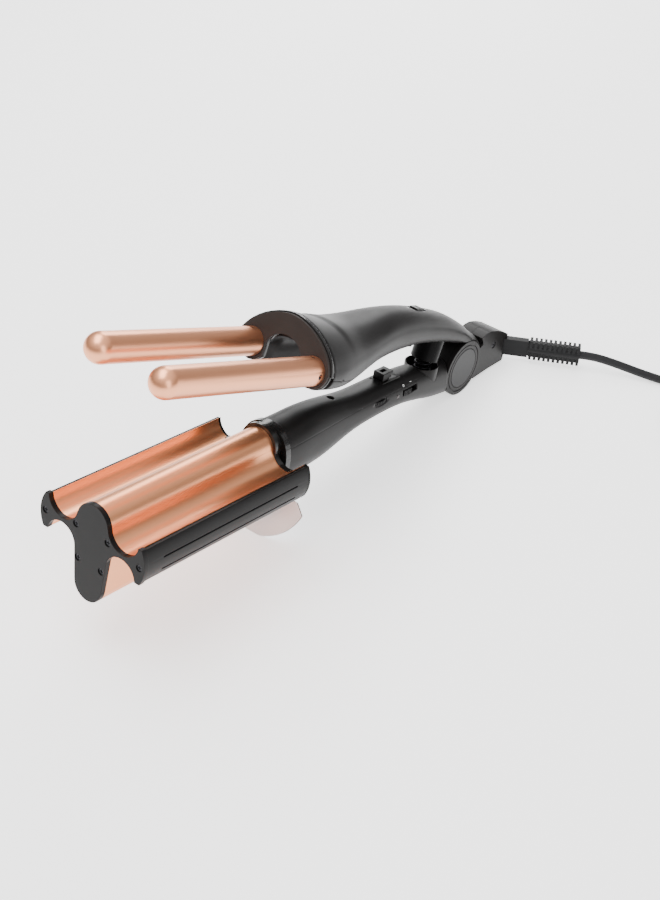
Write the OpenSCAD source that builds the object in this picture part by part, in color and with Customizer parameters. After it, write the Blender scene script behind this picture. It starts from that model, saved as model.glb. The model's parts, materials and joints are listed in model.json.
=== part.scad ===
// Two-barrel hair waver: an upper arm with two round heated barrels closes over a waving jaw
// with two troughs. Sizes in millimetres. The parts are drawn with the waving jaw level, x
// running from the jaw's front to the cord, and are then tipped on to the folding stand.

/* [Barrels] */
// outside diameter of each heated barrel
barrel_d = 16; // [14:0.5:16.5]
// wall of each barrel's tube
barrel_wall = 1.2; // [0.8:0.1:2]
// distance of each barrel's axis from the middle
barrel_y = 21; // [20.5:0.1:21.4]

/* [Waving jaw] */
// wall of the hollow lobe under the hair
jaw_wall = 1.6; // [1.2:0.1:2.2]
// depth of the two grooves in each side rail
groove_depth = 0.6; // [0.3:0.1:1]

/* [Hinge] */
// angle at which the upper arm rests open
open_angle = 14.5; // [13:0.5:18]
// outside diameter of the raised hub rings
hub_d = 37; // [36:0.2:37.4]
// diameter of the steel pivot pin
pin_d = 6; // [5:0.5:8]

/* [Stand] */
// radius of the half-moon plate
stand_r = 29.2; // [28.8:0.2:31]
// thickness of the half-moon plate
stand_t = 1.2; // [1:0.1:1.6]

/* [Handles] */
// wall of the moulded handle shells
shell_wall = 2.2; // [1.8:0.1:2.4]
// width of the seams between moulded parts
seam = 0.15; // [0.1:0.05:0.3]

/* [Cord] */
// diameter of the mains lead
cord_d = 5.4; // [4.8:0.1:5.4]
// ribs on the strain relief
boot_ribs = 11; // [8:1:12]

/* [Hidden] */
$fn = 96;
far = 100;
fit = 0.05;

// pivot and pose
pivot_x = 313;
hub_r = hub_d / 2;
stand_x = 136;
stand_z = -22;
lean = 112;
foot_s = 28;
foot_x = stand_x + foot_s * cos(lean);
foot_z = stand_z - foot_s * sin(lean);
foot_reach = sqrt(pow(pivot_x - foot_x, 2) + foot_z * foot_z);
pitch = atan2(-foot_z, pivot_x - foot_x) - asin(hub_r / foot_reach);
lift = hub_r + pivot_x * sin(pitch);
cap_low = -37.2;
tail_len = 55;
tail_end = pivot_x + tail_len;
tail_end_z = 5;
origin_x = (cap_low * sin(pitch) + tail_end * cos(pitch) + tail_end_z * sin(pitch)) / 2;

// waving jaw
jaw_front = 3;
jaw_rear = 122.6;
wing_rear = 124.2;
wing_inner = 23.2;
rail_y = 30.8;
rail_half = 9.4;
plate_top = 9.94;
lobe_r = 10.3;
lobe_z = 8.4;
trough_r = 10.3;
trough_y = 20.5;
trough_z = 11.5;
arch_r = 9.8;
arch_z = -10.8;
keel_r = 9.3;
keel_z = -27.9;
keel_top = 11;
keel_low = 9.2;
rail_bow_r = 19;
rail_bow_y = 16.2;
groove_z = [2.1, -5.3];
groove_w = 0.8;
groove_x = [14, 115];
cap_screws = [[32.2, 0], [10.85, 2.84], [8.1, -15.4]];
screw_r = 0.95;
head_r = 1.7;

// barrels and head, in the closed pose
barrel_r = barrel_d / 2;
barrel_z = 12.2;
barrel_tip = -3.3;
barrel_end = 127;
face_x = 122.4;
bead_x = 124.5;
head_x = 127;
arch_half = 12.5;
arch_top = 23.5;
leg_r = 9.9;
bead_leg_r = 10.3;
barrel_screw_x = 119;
barrel_screw_turns = [0, 90];

// spring between the handles
well_x = 276.8;
well_r = 9.9;
well_boss_r = 11.2;
well_floor = 0.4;
well_low = -1;
well_rim = 10.9;
cup_x = 276;
cup_r = 8.7;
cup_bore = 7.5;
cup_low = 4.6;
cup_roof = 11.6;
cup_top = 19.5;
spring_x = 278.2;
spring_r = 5;
spring_wire = 1.2;
spring_curls = 6;
spring_low = well_floor;
spring_high = 19.4;

// controls
lock_x = [230, 237, 240];
lock_w = 7.6;
lock_base = 13.6;
lock_top = 18.6;
hook_z = 16.9;
latch_x = [227, 252];
latch_half = 5.4;
latch_roof = 24.4;
lip_x = [243.6, 247];
lip_z = [14.4, 15.8];
switch_x = [243, 258];
switch_z = [3.3, 7];
knob_x = [244, 251];
wheel_x = 221;
wheel_y = -2.2;
wheel_z = [5.7, 7.6];
wheel_r = 9.9;
wheel_ribs = 36;
lamp_x = 238;
lamp_z = 4.6;
lamp_r = 1.3;
wall_y = 11.4;
board_x = [190, 262];
board_z = [-1.5, -0.1];
board_half = 7.4;
mode_x = [240, 254];
mode_knob = [243, 250];
cover_screw_x = 184;

// stand
stand_pin_r = 1.2;
knuckle_r = 2.3;
knuckle_half = 13.8;
ear_y = [14.2, 16.4];
stand_shoulder = [21.8, 0.4];
stand_corner_s = 6.3;

// hub and tail
pin_r = pin_d / 2;
knuckle_hub_r = 17.5;
knuckle_hub_y = 6.6;
cheek_y = [6.9, 9.6];
disc_r = 13.1;
disc_seat = 8.4;
dome_clear_r = 23.5;
ring_clear_r = 19.2;
shell_clear_r = 18.8;
tail_half = 8.8;
seat_angle = 26.3;
dome_angle = 27 + open_angle;
tail_screw_at = [tail_end - 20, 5.9];
clamp_x = [tail_end - 25, tail_end - 19];

// boot and cord, in the standing pose
boot_at = [tail_end - 6.5, -0.5];
boot_x = boot_at[0] * cos(pitch) + boot_at[1] * sin(pitch) - origin_x;
boot_z = boot_at[1] * cos(pitch) - boot_at[0] * sin(pitch) + lift;
boot_swing = 60.5;
boot_root_r = 4;
boot_w = 4.6;
boot_h = 12;
boot_plain = 24;
boot_len = 58;
boot_pin_r = 1.5;
boot_bore = 1.55;
rib_w = 5.6;
rib_t = 1.7;
fork_h = 12.8;
cord_r = cord_d / 2;
rest_z = cord_r - boot_z;

// the lead's free stretch from the boot's end: ahead, to the side, up
free_route = [[0, 0, 0], [5, 0, -0.05], [10, 0, -0.4], [16, 0.2, -1.2], [22, 0.6, -2.3],
    [28, 1.1, -3.5], [34, 1.8, -4.7], [40, 2.6, -5.8], [46, 3.5, -6.7], [52, 4.5, -7.4],
    [58, 5.5, -7.8], [64, 6.5, rest_z], [72, 7.9, rest_z], [80, 9.3, rest_z],
    [88, 10.7, rest_z], [96, 12.1, rest_z], [104, 13.5, rest_z]];

// the coil: turns spiral in on the table, climb, and spiral out on top
coil_in_r = 20.8;
coil_pitch = 6;
coil_turns = 8.3125;
coil_in_turns = 3.875;
coil_climb = 0.5;
coil_dip = 0.7;
coil_step_z = cord_d + 0.5;
coil_rings = 24;
coil_sides = 6;
coil_out_r = coil_in_r + coil_pitch * coil_in_turns;
coil_z = cord_r;
coil_heading = boot_swing + atan2(1.4, 8);
plug_run = 34;
plug_len = 36;
plug_w = 26;
plug_t = 13.6;
plug_z = plug_t / 2 + 0.1;
plug_pin_r = 2;
plug_shank_r = 1.5;
plug_pin_gap = 19;
plug_pin_len = 19;

// handle stations: x, half-width, top, bottom, height of the widest place, upper and lower
// fullness of the oval
lower_st = [[132, 15.5, 18.4, -18.1, 0.2, 2.3, 2.3], [145, 15, 18.7, -17.6, 0.6, 2.3, 2.3],
    [158, 14.2, 19.3, -17.1, 1.1, 2.3, 2.3], [170, 13.4, 18.8, -16.2, 1.3, 2.3, 2.3],
    [182, 12.6, 17.3, -13.4, 1.9, 2.3, 2.3], [194, 12, 15.4, -10, 2.7, 2.3, 2.3],
    [206, 11.6, 14.1, -7.8, 3.1, 2.3, 2.3], [220, 11.4, 13.8, -6.8, 3.5, 2.3, 2.3],
    [235, 11.4, 13.6, -6.4, 3.6, 2.3, 2.3], [250, 11.4, 12.8, -7.3, 2.8, 2.3, 2.3],
    [266, 11.2, 11.5, -10.2, 0.7, 2.3, 2.3], [282, 10.8, 9.9, -13.9, -2, 2.3, 2.3],
    [298, 10.2, 8.5, -16.3, -4, 2.3, 2.3], [311, 9.8, 7.5, -17.4, -5, 2.3, 2.3]];
upper_st = [[127, 32.3, 36, -0.2, 12, 1.7, 2.6], [140, 31, 33.6, -2, 12.6, 1.85, 2.4],
    [152, 28.7, 31.9, -2.8, 13.4, 2.05, 2.3], [165, 25.5, 31.2, -0.4, 15.2, 2.2, 2.3],
    [178, 22.5, 31.9, 4, 17.8, 2.3, 2.3], [190, 19.8, 33.6, 7.3, 20.4, 2.3, 2.3],
    [202, 17.5, 35.7, 9.7, 22.7, 2.3, 2.3], [215, 15.6, 37.3, 12, 24.6, 2.3, 2.3],
    [230, 14.2, 38, 14.4, 26.2, 2.3, 2.3], [245, 13.2, 37.6, 16.2, 27, 2.3, 2.3],
    [262, 12.4, 36.3, 16.9, 26.6, 2.3, 2.3], [280, 11.5, 33.8, 16.5, 25.2, 2.3, 2.3],
    [300, 10.4, 28.4, 15.1, 22, 2.3, 2.3], [311, 9.9, 24.2, 13, 18, 2.3, 2.3],
    [320, 9.5, 21.4, 9, 14, 2.4, 2.3], [326, 9.4, 18.6, 7, 11, 2.5, 2.3],
    [331, 9.2, 14, 6, 8, 2.5, 2.3]];
channel_st = concat([[119, 16.5, 20.4, -60, 3, 2.3, 2.6], [133.5, 16.5, 20.4, -60, 3, 2.3, 2.6],
    [137, 15.2, 18.5, -60, 3, 2.3, 2.6]],
    [for (i = [1:len(lower_st) - 1]) [lower_st[i][0], lower_st[i][1], lower_st[i][2], -60,
        lower_st[i][4], 2.3, 2.6]]);
hollow_count = 12;
upper_hollow_st = concat([concat([head_x - 2], [for (k = [1:6]) upper_st[0][k]])],
    [for (i = [0:hollow_count - 1]) upper_st[i]]);
outer_sides = 24;
inner_sides = 14;
opening_inset = 4.2;
opening_drop = 8.3;
parting_z = 8.5;
parting_rear = 288;
head_parting_z = 10.8;
head_parting_slope = 5.4;

// ---- functions -------------------------------------------------------------------------

function power(v, e) = sign(v) * pow(abs(v), e);

// one oval ring of a handle station, drawn in by d
function ring(s, d, n) = [for (k = [0:n - 1])
    let (a = 360 * (k + 0.5) / n, up = sin(a) > 0, e = 2 / (up ? s[5] : s[6]),
        h = up ? s[2] - s[4] - d : s[4] - s[3] - d)
    [s[0], power(cos(a), e) * (s[1] - d), s[4] + power(sin(a), e) * h]];

function flat_ring(s, d, n) = [for (p = ring(s, d, n)) [p[1], p[2]]];

function unit(v) = v / norm(v);

// heading of a path at point i
function tangent(p, i) = unit(p[min(i + 1, len(p) - 1)] - p[max(i - 1, 0)]);

// ring of points round a path at point i
function around(p, i, r, n) = let (t = tangent(p, i), s = unit(cross(t, [0, 0, 1])),
    u = cross(s, t)) [for (k = [0:n - 1]) let (a = 360 * (k + 0.5) / n)
        p[i] + r * cos(a) * s + r * sin(a) * u];

function tube_faces(m, n) = concat([[for (k = [0:n - 1]) k]],
    [for (i = [0:m - 2], k = [0:n - 1]) let (a = i * n + k, b = i * n + (k + 1) % n)
        [a, a + n, b]],
    [for (i = [0:m - 2], k = [0:n - 1]) let (a = i * n + k, b = i * n + (k + 1) % n)
        [b, a + n, b + n]],
    [[for (k = [n - 1:-1:0]) (m - 1) * n + k]]);

// centreline of the coil at turn u, about its own middle
function coil_radius(u) = u < coil_in_turns ? coil_out_r - coil_pitch * u
    : u < coil_in_turns + coil_climb
        ? coil_in_r - coil_dip * sin(180 * (u - coil_in_turns) / coil_climb)
    : coil_in_r + coil_pitch * (u - coil_in_turns - coil_climb);
function coil_height(u) = let (t = max(0, min(1, (u - coil_in_turns) / coil_climb)))
    coil_z + coil_step_z * t * t * (3 - 2 * t);
function coil_point(u) = let (a = -360 * u)
    [coil_radius(u) * cos(a), coil_radius(u) * sin(a), coil_height(u)];
coil_path = let (n = round(coil_turns * coil_rings)) concat(
    [coil_point(0) - cord_d * unit(coil_point(0.01) - coil_point(0))],
    [for (i = [0:n]) coil_point(coil_turns * i / n)],
    [coil_point(coil_turns) + cord_d * unit(coil_point(coil_turns) - coil_point(coil_turns - 0.01))]);

// ---- placing ---------------------------------------------------------------------------

module place() translate([-origin_x, 0, lift]) rotate([0, pitch, 0]) children();

// the upper arm is drawn closed and turned open about the pivot
module upper() place() translate([pivot_x, 0, 0]) rotate([0, open_angle, 0])
    translate([-pivot_x, 0, 0]) children();

// flat outlines in (y, z), each drawn out along x
module along_x(a, b) for (i = [0:$children - 1])
    translate([a, 0, 0]) rotate([90, 0, 90]) linear_extrude(b - a) children(i);

// a flat outline in (x, z), drawn out along y
module along_y(a, b) translate([0, b, 0]) rotate([90, 0, 0]) linear_extrude(b - a) children();

module rod_y(x, z, r, a, b) translate([x, a, z]) rotate([-90, 0, 0]) cylinder(r = r, h = b - a);

module rod_x(y, z, r, a, b) translate([a, y, z]) rotate([0, 90, 0]) cylinder(r = r, h = b - a);

module rod_z(x, y, r, a, b) translate([x, y, a]) cylinder(r = r, h = b - a);

module block(x, y, z) translate([x[0], y[0], z[0]])
    cube([x[1] - x[0], y[1] - y[0], z[1] - z[0]]);

module both_sides() {
    children();
    mirror([0, 1, 0]) children();
}

module loft(st, d, n)
    for (i = [0:len(st) - 2])
        hull() polyhedron(points = concat(ring(st[i], d, n), ring(st[i + 1], d, n)),
            faces = [[for (k = [0:n - 1]) k], [for (k = [2 * n - 1:-1:n]) k]]);

module tube(path, r, n)
    polyhedron(points = [for (i = [0:len(path) - 1]) each around(path, i, r, n)],
        faces = tube_faces(len(path), n));

// ---- waving jaw ------------------------------------------------------------------------

module plate_outline(half, low, top, trough, arch) {
    difference() {
        translate([-half, low]) square([2 * half, top - low]);
        for (s = [-1, 1]) {
            translate([s * trough_y, trough_z]) circle(trough);
            translate([s * trough_y, arch_z]) circle(arch);
        }
    }
}

module lobe(r) translate([0, lobe_z]) circle(r);

module keel_sides(grow) polygon([[-keel_top - grow, -8.4], [keel_top + grow, -8.4],
    [keel_low + grow, -28.4], [-keel_low - grow, -28.4]]);

module keel_round(r) translate([0, keel_z]) circle(r);

module jaw_cavity() {
    difference() {
        union() {
            translate([0, lobe_z]) circle(lobe_r - jaw_wall);
            polygon([[-lobe_r + jaw_wall + 0.25, 7], [lobe_r - jaw_wall - 0.25, 7],
                [keel_low - jaw_wall, -28.2], [-keel_low + jaw_wall, -28.2]]);
            translate([0, keel_z]) circle(keel_r - jaw_wall);
        }
        for (s = [-1, 1])
            translate([s * cap_screws[2][0], cap_screws[2][1]]) circle(2.2);
    }
}

module screw_pattern()
    for (s = [-1, 1], p = cap_screws) translate([0, s * p[0], p[1]]) children();

module lower_jaw() color([0.86, 0.55, 0.42]) place() difference() {
    along_x(jaw_front, wing_rear) {
        plate_outline(rail_y, -rail_half, plate_top, trough_r, arch_r);
        lobe(lobe_r);
        keel_sides(0);
        keel_round(keel_r);
    }
    along_x(jaw_front - 1, wing_rear + 1) jaw_cavity();
    block([jaw_rear, wing_rear + 1], [-wing_inner, wing_inner], [-45, 25]);
    screw_pattern() rod_x(0, 0, screw_r, jaw_front - 1, 10);
}

module bowed_side() intersection() {
    translate([rail_bow_y, 0]) circle(rail_bow_r);
    translate([rail_y, -rail_half]) square([5, 2 * rail_half]);
}

module side_rail() difference() {
    along_x(jaw_front, wing_rear) bowed_side();
    for (z = groove_z)
        let (y = rail_bow_y + sqrt(rail_bow_r * rail_bow_r - z * z))
        block(groove_x, [y - groove_depth, y + 2], [z - groove_w / 2, z + groove_w / 2]);
    rod_x(cap_screws[0][0], cap_screws[0][1], screw_r, jaw_front - 1, 10);
}

module near_side_rail() color([0.1, 0.1, 0.11]) place() mirror([0, 1, 0]) side_rail();

module far_side_rail() color([0.1, 0.1, 0.11]) place() side_rail();

// wings of the front cap, drawn a little proud of the jaw
module cap_wings() difference() {
    intersection() {
        union() {
            for (s = [-1, 1]) translate([s * 16.6, 0]) circle(19.2);
            square([30, 30], center = true);
        }
        translate([-40, -9.6]) square([80, 19.8]);
    }
    for (s = [-1, 1]) {
        translate([s * trough_y, trough_z]) circle(trough_r - 0.2);
        translate([s * trough_y, arch_z]) circle(arch_r - 0.2);
    }
}

module front_end_cap() color([0.12, 0.12, 0.13]) place() difference() {
    along_x(0, jaw_front) {
        cap_wings();
        lobe(lobe_r + 0.2);
        keel_sides(0.15);
        keel_round(keel_r);
    }
    screw_pattern() {
        rod_x(0, 0, head_r + 0.2, -1, 1.6);
        rod_x(0, 0, screw_r, 1, jaw_front + 1);
    }
}

module jaw_end_screws() color([0.2, 0.2, 0.21]) place() screw_pattern() difference() {
    union() {
        rod_x(0, 0, head_r, 0.6, 1.6);
        rod_x(0, 0, screw_r, 1.6, 9.5);
    }
    block([0.5, 1.1], [-1.1, 1.1], [-0.25, 0.25]);
    block([0.5, 1.1], [-0.25, 0.25], [-1.1, 1.1]);
}

module rear_wing_caps() color([0.1, 0.1, 0.11]) place() both_sides() difference() {
    along_x(wing_rear, 126) {
        plate_outline(rail_y, -rail_half, plate_top, trough_r, arch_r);
        intersection() {
            translate([rail_bow_y, 0]) circle(rail_bow_r);
            translate([29, -rail_half]) square([20, 2 * rail_half]);
        }
    }
    along_x(wing_rear - 1, 127) for (z = [trough_z, arch_z])
        translate([trough_y, z]) circle(z > 0 ? trough_r : arch_r);
    block([wing_rear - 1, 127], [-40, wing_inner], [-20, 20]);
}

// half-moon bar that lies against the inside of the lobe, with the flat heater under it
module heater_spreader() color([0.75, 0.76, 0.78]) place() {
    along_x(10, 116) intersection() {
        translate([0, lobe_z]) circle(lobe_r - jaw_wall - fit);
        translate([-10, 4.8]) square([20, 20]);
    }
    along_x(14, 112) polygon([[-7.9, 2.4], [7.9, 2.4], [7.6, -6], [-7.6, -6]]);
}

module jaw_heater() color([0.9, 0.86, 0.78]) place()
    block([12, 114], [-7, 7], [2.4, 4.8]);

// ---- collar between the jaw and the handle ---------------------------------------------

collar_st = [126, 16.2, 19.9, -19, 0.4, 2.3, 2.3];
spigot_st = [132, 12.6, 15.6, -15, 0.3, 2.3, 2.3];

module jaw_collar() color([0.05, 0.05, 0.06]) place() difference() {
    union() {
        along_x(jaw_rear, 124.6) lobe(12.2);
        along_x(jaw_rear, 126) {
            plate_outline(wing_inner - 0.2, -9.6, 9.5, leg_r, arch_r - 0.2);
            keel_sides(0.7);
            keel_round(keel_r + 0.7);
        }
        along_x(124, 132) lobe(11.6);
        along_x(126, 132) intersection() {
            polygon(flat_ring(collar_st, 0, 40));
            translate([-20, -30]) square([40, 30.6]);
        }
        along_x(128, 132) polygon(flat_ring(collar_st, 0, 40));
        along_x(132, 137) polygon(flat_ring(spigot_st, 0, 40));
    }
    rod_x(0, -2, 5, 120, 140);
}

// ---- lower handle ----------------------------------------------------------------------

module hub_space(r) rod_y(pivot_x, 0, r, -40, 40);

module cover_space(d)
    block([120, parting_rear + d], [-30, 30], [parting_z - d, 40]);

module lower_hollow() loft(lower_st, shell_wall, inner_sides);

module lower_posts() {
    rod_z(cover_screw_x, 0, 3, -12, parting_z);
    rod_z(205, 0, 2.4, -7, board_z[0]);
    rod_z(252, 0, 2.4, -6.5, board_z[0]);
}

module lower_shell() color([0.16, 0.15, 0.16]) let ($fn = 40) place() difference() {
    union() {
        difference() {
            loft(lower_st, 0, outer_sides);
            lower_hollow();
        }
        lower_posts();
        difference() {
            block([132.4, 145], [-7, 7], [-18.5, -13.5]);
            along_x(131, 138) polygon(flat_ring(spigot_st, -0.1, 40));
        }
    }
    cover_space(0);
    hub_space(shell_clear_r);
    rod_z(well_x, 0, well_boss_r + seam, well_low - seam, 20);
    block(switch_x, [-20, -6], switch_z);
    wheel_slot();
    rod_y(lamp_x, lamp_z, lamp_r + 0.1, -20, -7);
    rod_z(cover_screw_x, 0, 1, -8, 9);
    for (s = [-1, 1]) rod_z(142, s * 4.5, 1, -19, -14.5);
}

module wheel_slot() intersection() {
    rod_z(wheel_x, wheel_y, wheel_r + 0.4, wheel_z[0] - 0.3, wheel_z[1] + 0.3);
    block([200, 240], [-20, -6], [0, 20]);
}

module lower_cover() color([0.16, 0.15, 0.16]) let ($fn = 40) place() difference() {
    union() {
        intersection() {
            difference() {
                loft(lower_st, 0, outer_sides);
                lower_hollow();
            }
            cover_space(-seam);
        }
        rod_z(well_x, 0, well_boss_r, well_low, well_rim);
        intersection() {
            rod_z(cover_screw_x, 0, 3.6, parting_z + seam, 20);
            loft(lower_st, 0, outer_sides);
        }
        lock_seat();
    }
    rod_z(well_x, 0, well_r, well_floor, 30);
    rod_z(cover_screw_x, 0, 1, 0, 20);
    rod_z(cover_screw_x, 0, 2.4, 11.5, 30);
    block([lock_x[0] + 1.5, lock_x[1] + 4.7], [-2.1, 2.1], [8, 20]);
}

// flat on the cover for the lock's block to slide on
module lock_seat() difference() {
    block([lock_x[0] - 1, lock_x[2] + 6], [-5, 5], [10.5, lock_base]);
    block([200, 280], [-2.1, 2.1], [8, 12]);
}

module lower_screws() color([0.55, 0.56, 0.58]) place() {
    difference() {
        rod_z(cover_screw_x, 0, 2.2, 11.5, 13);
        rod_z(cover_screw_x, 0, 1, 12.2, 14);
    }
    rod_z(cover_screw_x, 0, 0.9, -5, 11.5);
    for (s = [-1, 1]) {
        rod_z(142, s * 4.5, 0.9, -20, -15);
        rod_z(142, s * 4.5, 1.9, -21.2, -20);
    }
}

module control_board() color([0.12, 0.35, 0.2]) place() {
    block(board_x, [-board_half, board_half], board_z);
    block([194, 204], [1, 7], [board_z[1], 6]);
    rod_z(264 - 8, 3, 2.5, board_z[1], 6.5);
    block([lamp_x - 1.2, lamp_x + 1.2], [-7.4, -5.8], [board_z[1], lamp_z + 1.2]);
}

module status_lamp() color([0.85, 0.2, 0.15]) place() {
    rod_y(lamp_x, lamp_z, lamp_r, -wall_y - 0.1, -8);
    rod_y(lamp_x, lamp_z, lamp_r + 0.4, -8.4, -7.4);
}

module switch_body() color([0.08, 0.08, 0.09]) place() difference() {
    block([241, 260], [-7.9, -4.6], [board_z[1], 7]);
    block([switch_x[0], switch_x[1]], [-10, -7.2], [4.2, 6.1]);
}

module power_switch() color([0.09, 0.09, 0.1]) place() {
    difference() {
        block(knob_x, [-wall_y - 0.3, -8.75], [switch_z[0] + 0.2, switch_z[1] - 0.2]);
        for (i = [0:3])
            block([knob_x[0] + 1 + 1.5 * i, knob_x[0] + 1.7 + 1.5 * i], [-20, -wall_y + 0.3],
                [0, 10]);
    }
    block([knob_x[0] + 2, knob_x[1] - 2], [-8.75, -7.4], [4.4, 5.9]);
}

module temperature_wheel() color([0.1, 0.1, 0.11]) place() difference() {
    translate([wheel_x, wheel_y, wheel_z[0]]) linear_extrude(wheel_z[1] - wheel_z[0])
        polygon([for (k = [0:2 * wheel_ribs - 1])
            (k % 2 == 0 ? wheel_r : wheel_r - 0.5) * [cos(180 * k / wheel_ribs),
                sin(180 * k / wheel_ribs)]]);
    rod_z(wheel_x, wheel_y, 2.05, 0, 20);
}

module dial_body() color([0.3, 0.3, 0.32]) place() {
    rod_z(wheel_x, wheel_y, 5, board_z[1], wheel_z[0] - 0.1);
    rod_z(wheel_x, wheel_y, 2, wheel_z[0] - 0.1, wheel_z[1] + 0.1);
}

module lock_slider() color([0.11, 0.11, 0.12]) place() difference() {
    union() {
        block([lock_x[0], lock_x[1]], [-lock_w / 2, lock_w / 2], [lock_base + fit, lock_top]);
        block([lock_x[1], lock_x[2]], [-lock_w / 2, lock_w / 2], [hook_z, lock_top]);
        block([lock_x[0] + 2, lock_x[1] - 1], [-2, 2], [10, lock_base + fit]);
        block([lock_x[0] + 2, lock_x[1] - 1], [-3.4, 3.4], [9.5, 10.4]);
    }
    block([lock_x[0] + 2, lock_x[1] - 0.5], [-1.1, 1.1], [lock_top - 1.4, 20]);
}

// ---- hub and tail ----------------------------------------------------------------------

// side view of the tail: distance ahead of its end, height
tail_profile = [[38.5, -13.2], [30, -12.2], [22, -11.2], [5, -10.1], [1.4, -8.6], [0, -5.5],
    [0, tail_end_z], [1.2, 8], [7, 11], [11, 13], [19, 15.8], [27, 17.5], [32, 17.3],
    [37, 15.6], [38.5, 13]];

module sector(a, b, r) polygon([[0, 0], r * [cos(a), sin(a)],
    r * 1.2 * [cos((a + b) / 2), sin((a + b) / 2)], r * [cos(b), sin(b)]]);

module tail_plan() {
    translate([320, -tail_half]) square([tail_end - 5 - 320, 2 * tail_half]);
    for (s = [-1, 1]) translate([tail_end - 5, s * (tail_half - 5)]) circle(5);
    translate([tail_end - 6, -tail_half + 5]) square([6, 2 * tail_half - 10]);
}

module fork_space() translate([boot_at[0], 0, boot_at[1]]) rotate([0, -pitch, 0]) {
    translate([0, 0, -fork_h / 2]) linear_extrude(fork_h) {
        circle(boot_root_r + 0.9);
        sector(-90, 0, 30);
        sector(0, 90, 30);
    }
}

module boot_pin_space(r) translate([boot_at[0], 0, boot_at[1]]) rotate([0, -pitch, 0])
    rod_z(0, 0, r, -8.4, 9);

// one half of the tail with its hinge ear, drawn for the +y side
module cheek_half() difference() {
    union() {
        intersection() {
            along_y(0, tail_half)
                polygon([for (p = tail_profile) [tail_end - p[0], p[1]]]);
            translate([0, 0, -50]) linear_extrude(100) tail_plan();
        }
        rod_y(pivot_x, 0, hub_r, cheek_y[0], cheek_y[1]);
        block([280, 300], [6.9, 7.8], [-6.5, -1.5]);
    }
    rod_y(pivot_x, 0, knuckle_hub_r + 0.8, -1, cheek_y[0]);
    intersection() {
        rod_y(pivot_x, 0, dome_clear_r, -1, 20);
        along_y(-1, 20) translate([pivot_x, 0]) sector(seat_angle, 170, 60);
        difference() {
            block([pivot_x, 400], [-1, 20], [-50, 50]);
            rod_y(pivot_x, 0, hub_r + fit, cheek_y[0] - fit, 21);
        }
    }
    rod_y(pivot_x, 0, disc_r + 0.3, disc_seat, 20);
    rod_y(pivot_x, 0, pin_r, 0, 20);
    difference() {
        rod_y(pivot_x, 0, 16.1, cheek_y[1] - 0.6, 20);
        rod_y(pivot_x, 0, 15.5, cheek_y[1] - 1, 21);
    }
    block([tail_end - 31, tail_end - 13], [-1, 5], [-7, 8]);
    fork_space();
    boot_pin_space(boot_pin_r);
    rod_y(tail_screw_at[0], tail_screw_at[1], 1.1, -1, 20);
}

module near_hub_cheek() color([0.17, 0.16, 0.17]) place() difference() {
    mirror([0, 1, 0]) cheek_half();
    rod_y(tail_screw_at[0], tail_screw_at[1], 2.4, -20, -7.4);
}

module far_hub_cheek() color([0.17, 0.16, 0.17]) place() cheek_half();

module tail_screw() color([0.3, 0.3, 0.32]) place() {
    difference() {
        rod_y(tail_screw_at[0], tail_screw_at[1], 2.2, -8.3, -7.4);
        block([tail_screw_at[0] - 1.6, tail_screw_at[0] + 1.6], [-9, -7.9], [5.6, 6.2]);
    }
    rod_y(tail_screw_at[0], tail_screw_at[1], 1.1, -7.4, 7.5);
}

module near_hub_disc() color([0.42, 0.42, 0.43]) place()
    rod_y(pivot_x, 0, disc_r, -cheek_y[1] - 0.1, -disc_seat);

module far_hub_disc() color([0.42, 0.42, 0.43]) place()
    rod_y(pivot_x, 0, disc_r, disc_seat, cheek_y[1] + 0.1);

module pivot_pin() color([0.75, 0.76, 0.78]) place()
    rod_y(pivot_x, 0, pin_r, -disc_seat + fit, disc_seat - fit);

module pivot_washers() color([0.7, 0.7, 0.72]) place() both_sides() difference() {
    rod_y(pivot_x, 0, pin_r + 3, knuckle_hub_y + fit, cheek_y[0]);
    rod_y(pivot_x, 0, pin_r, 0, 20);
}

module cord_clamp() color([0.3, 0.3, 0.32]) place() difference() {
    block(clamp_x, [-4.95, 4.95], [-7, 3]);
    rod_x(0, -1.5, cord_r, clamp_x[0] - 1, clamp_x[1] + 1);
}

// ---- spring ----------------------------------------------------------------------------

spring_turn = let (rest = spring_high - spring_low - spring_wire)
    [for (i = [0:8 * spring_curls]) let (t = i / (8 * spring_curls),
        z = spring_low + spring_wire / 2 + rest * t)
        [spring_r * cos(360 * spring_curls * t), spring_r * sin(360 * spring_curls * t), z]];

module return_spring() color([0.06, 0.06, 0.07]) place()
    translate([spring_x, 0, 0]) tube(spring_turn, spring_wire / 2 - fit, 6);

// ---- stand -----------------------------------------------------------------------------

// plate coordinates: y across, s from the pin towards the foot
module in_plate() translate([stand_x, 0, stand_z]) rotate([0, lean, 0]) children();

module plate_shape() difference() {
    union() {
        difference() {
            circle(stand_r);
            translate([-far, -far]) square([far + stand_corner_s, 2 * far]);
        }
        polygon([[stand_shoulder[1], -stand_shoulder[0]], [stand_corner_s + 0.1, -28.4],
            [stand_corner_s + 0.1, 28.4], [stand_shoulder[1], stand_shoulder[0]]]);
    }
    for (s = [-1, 1]) translate([-1, s * (ear_y[0] + ear_y[1]) / 2 - 1.6]) square([6.4, 3.2]);
}

module stand_plate() color([0.8, 0.8, 0.82]) place() difference() {
    union() {
        in_plate() translate([0, 0, -stand_t / 2]) linear_extrude(stand_t) plate_shape();
        rod_y(stand_x, stand_z, knuckle_r, -knuckle_half, knuckle_half);
    }
    rod_y(stand_x, stand_z, stand_pin_r + fit, -30, 30);
    translate([pivot_x, 0, 0]) rotate([0, -pitch, 0])
        block([-far * 3, far], [-far, far], [-far, -hub_r]);
}

module stand_pin() color([0.75, 0.76, 0.78]) place()
    rod_y(stand_x, stand_z, stand_pin_r, -ear_y[1], ear_y[1]);

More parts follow.
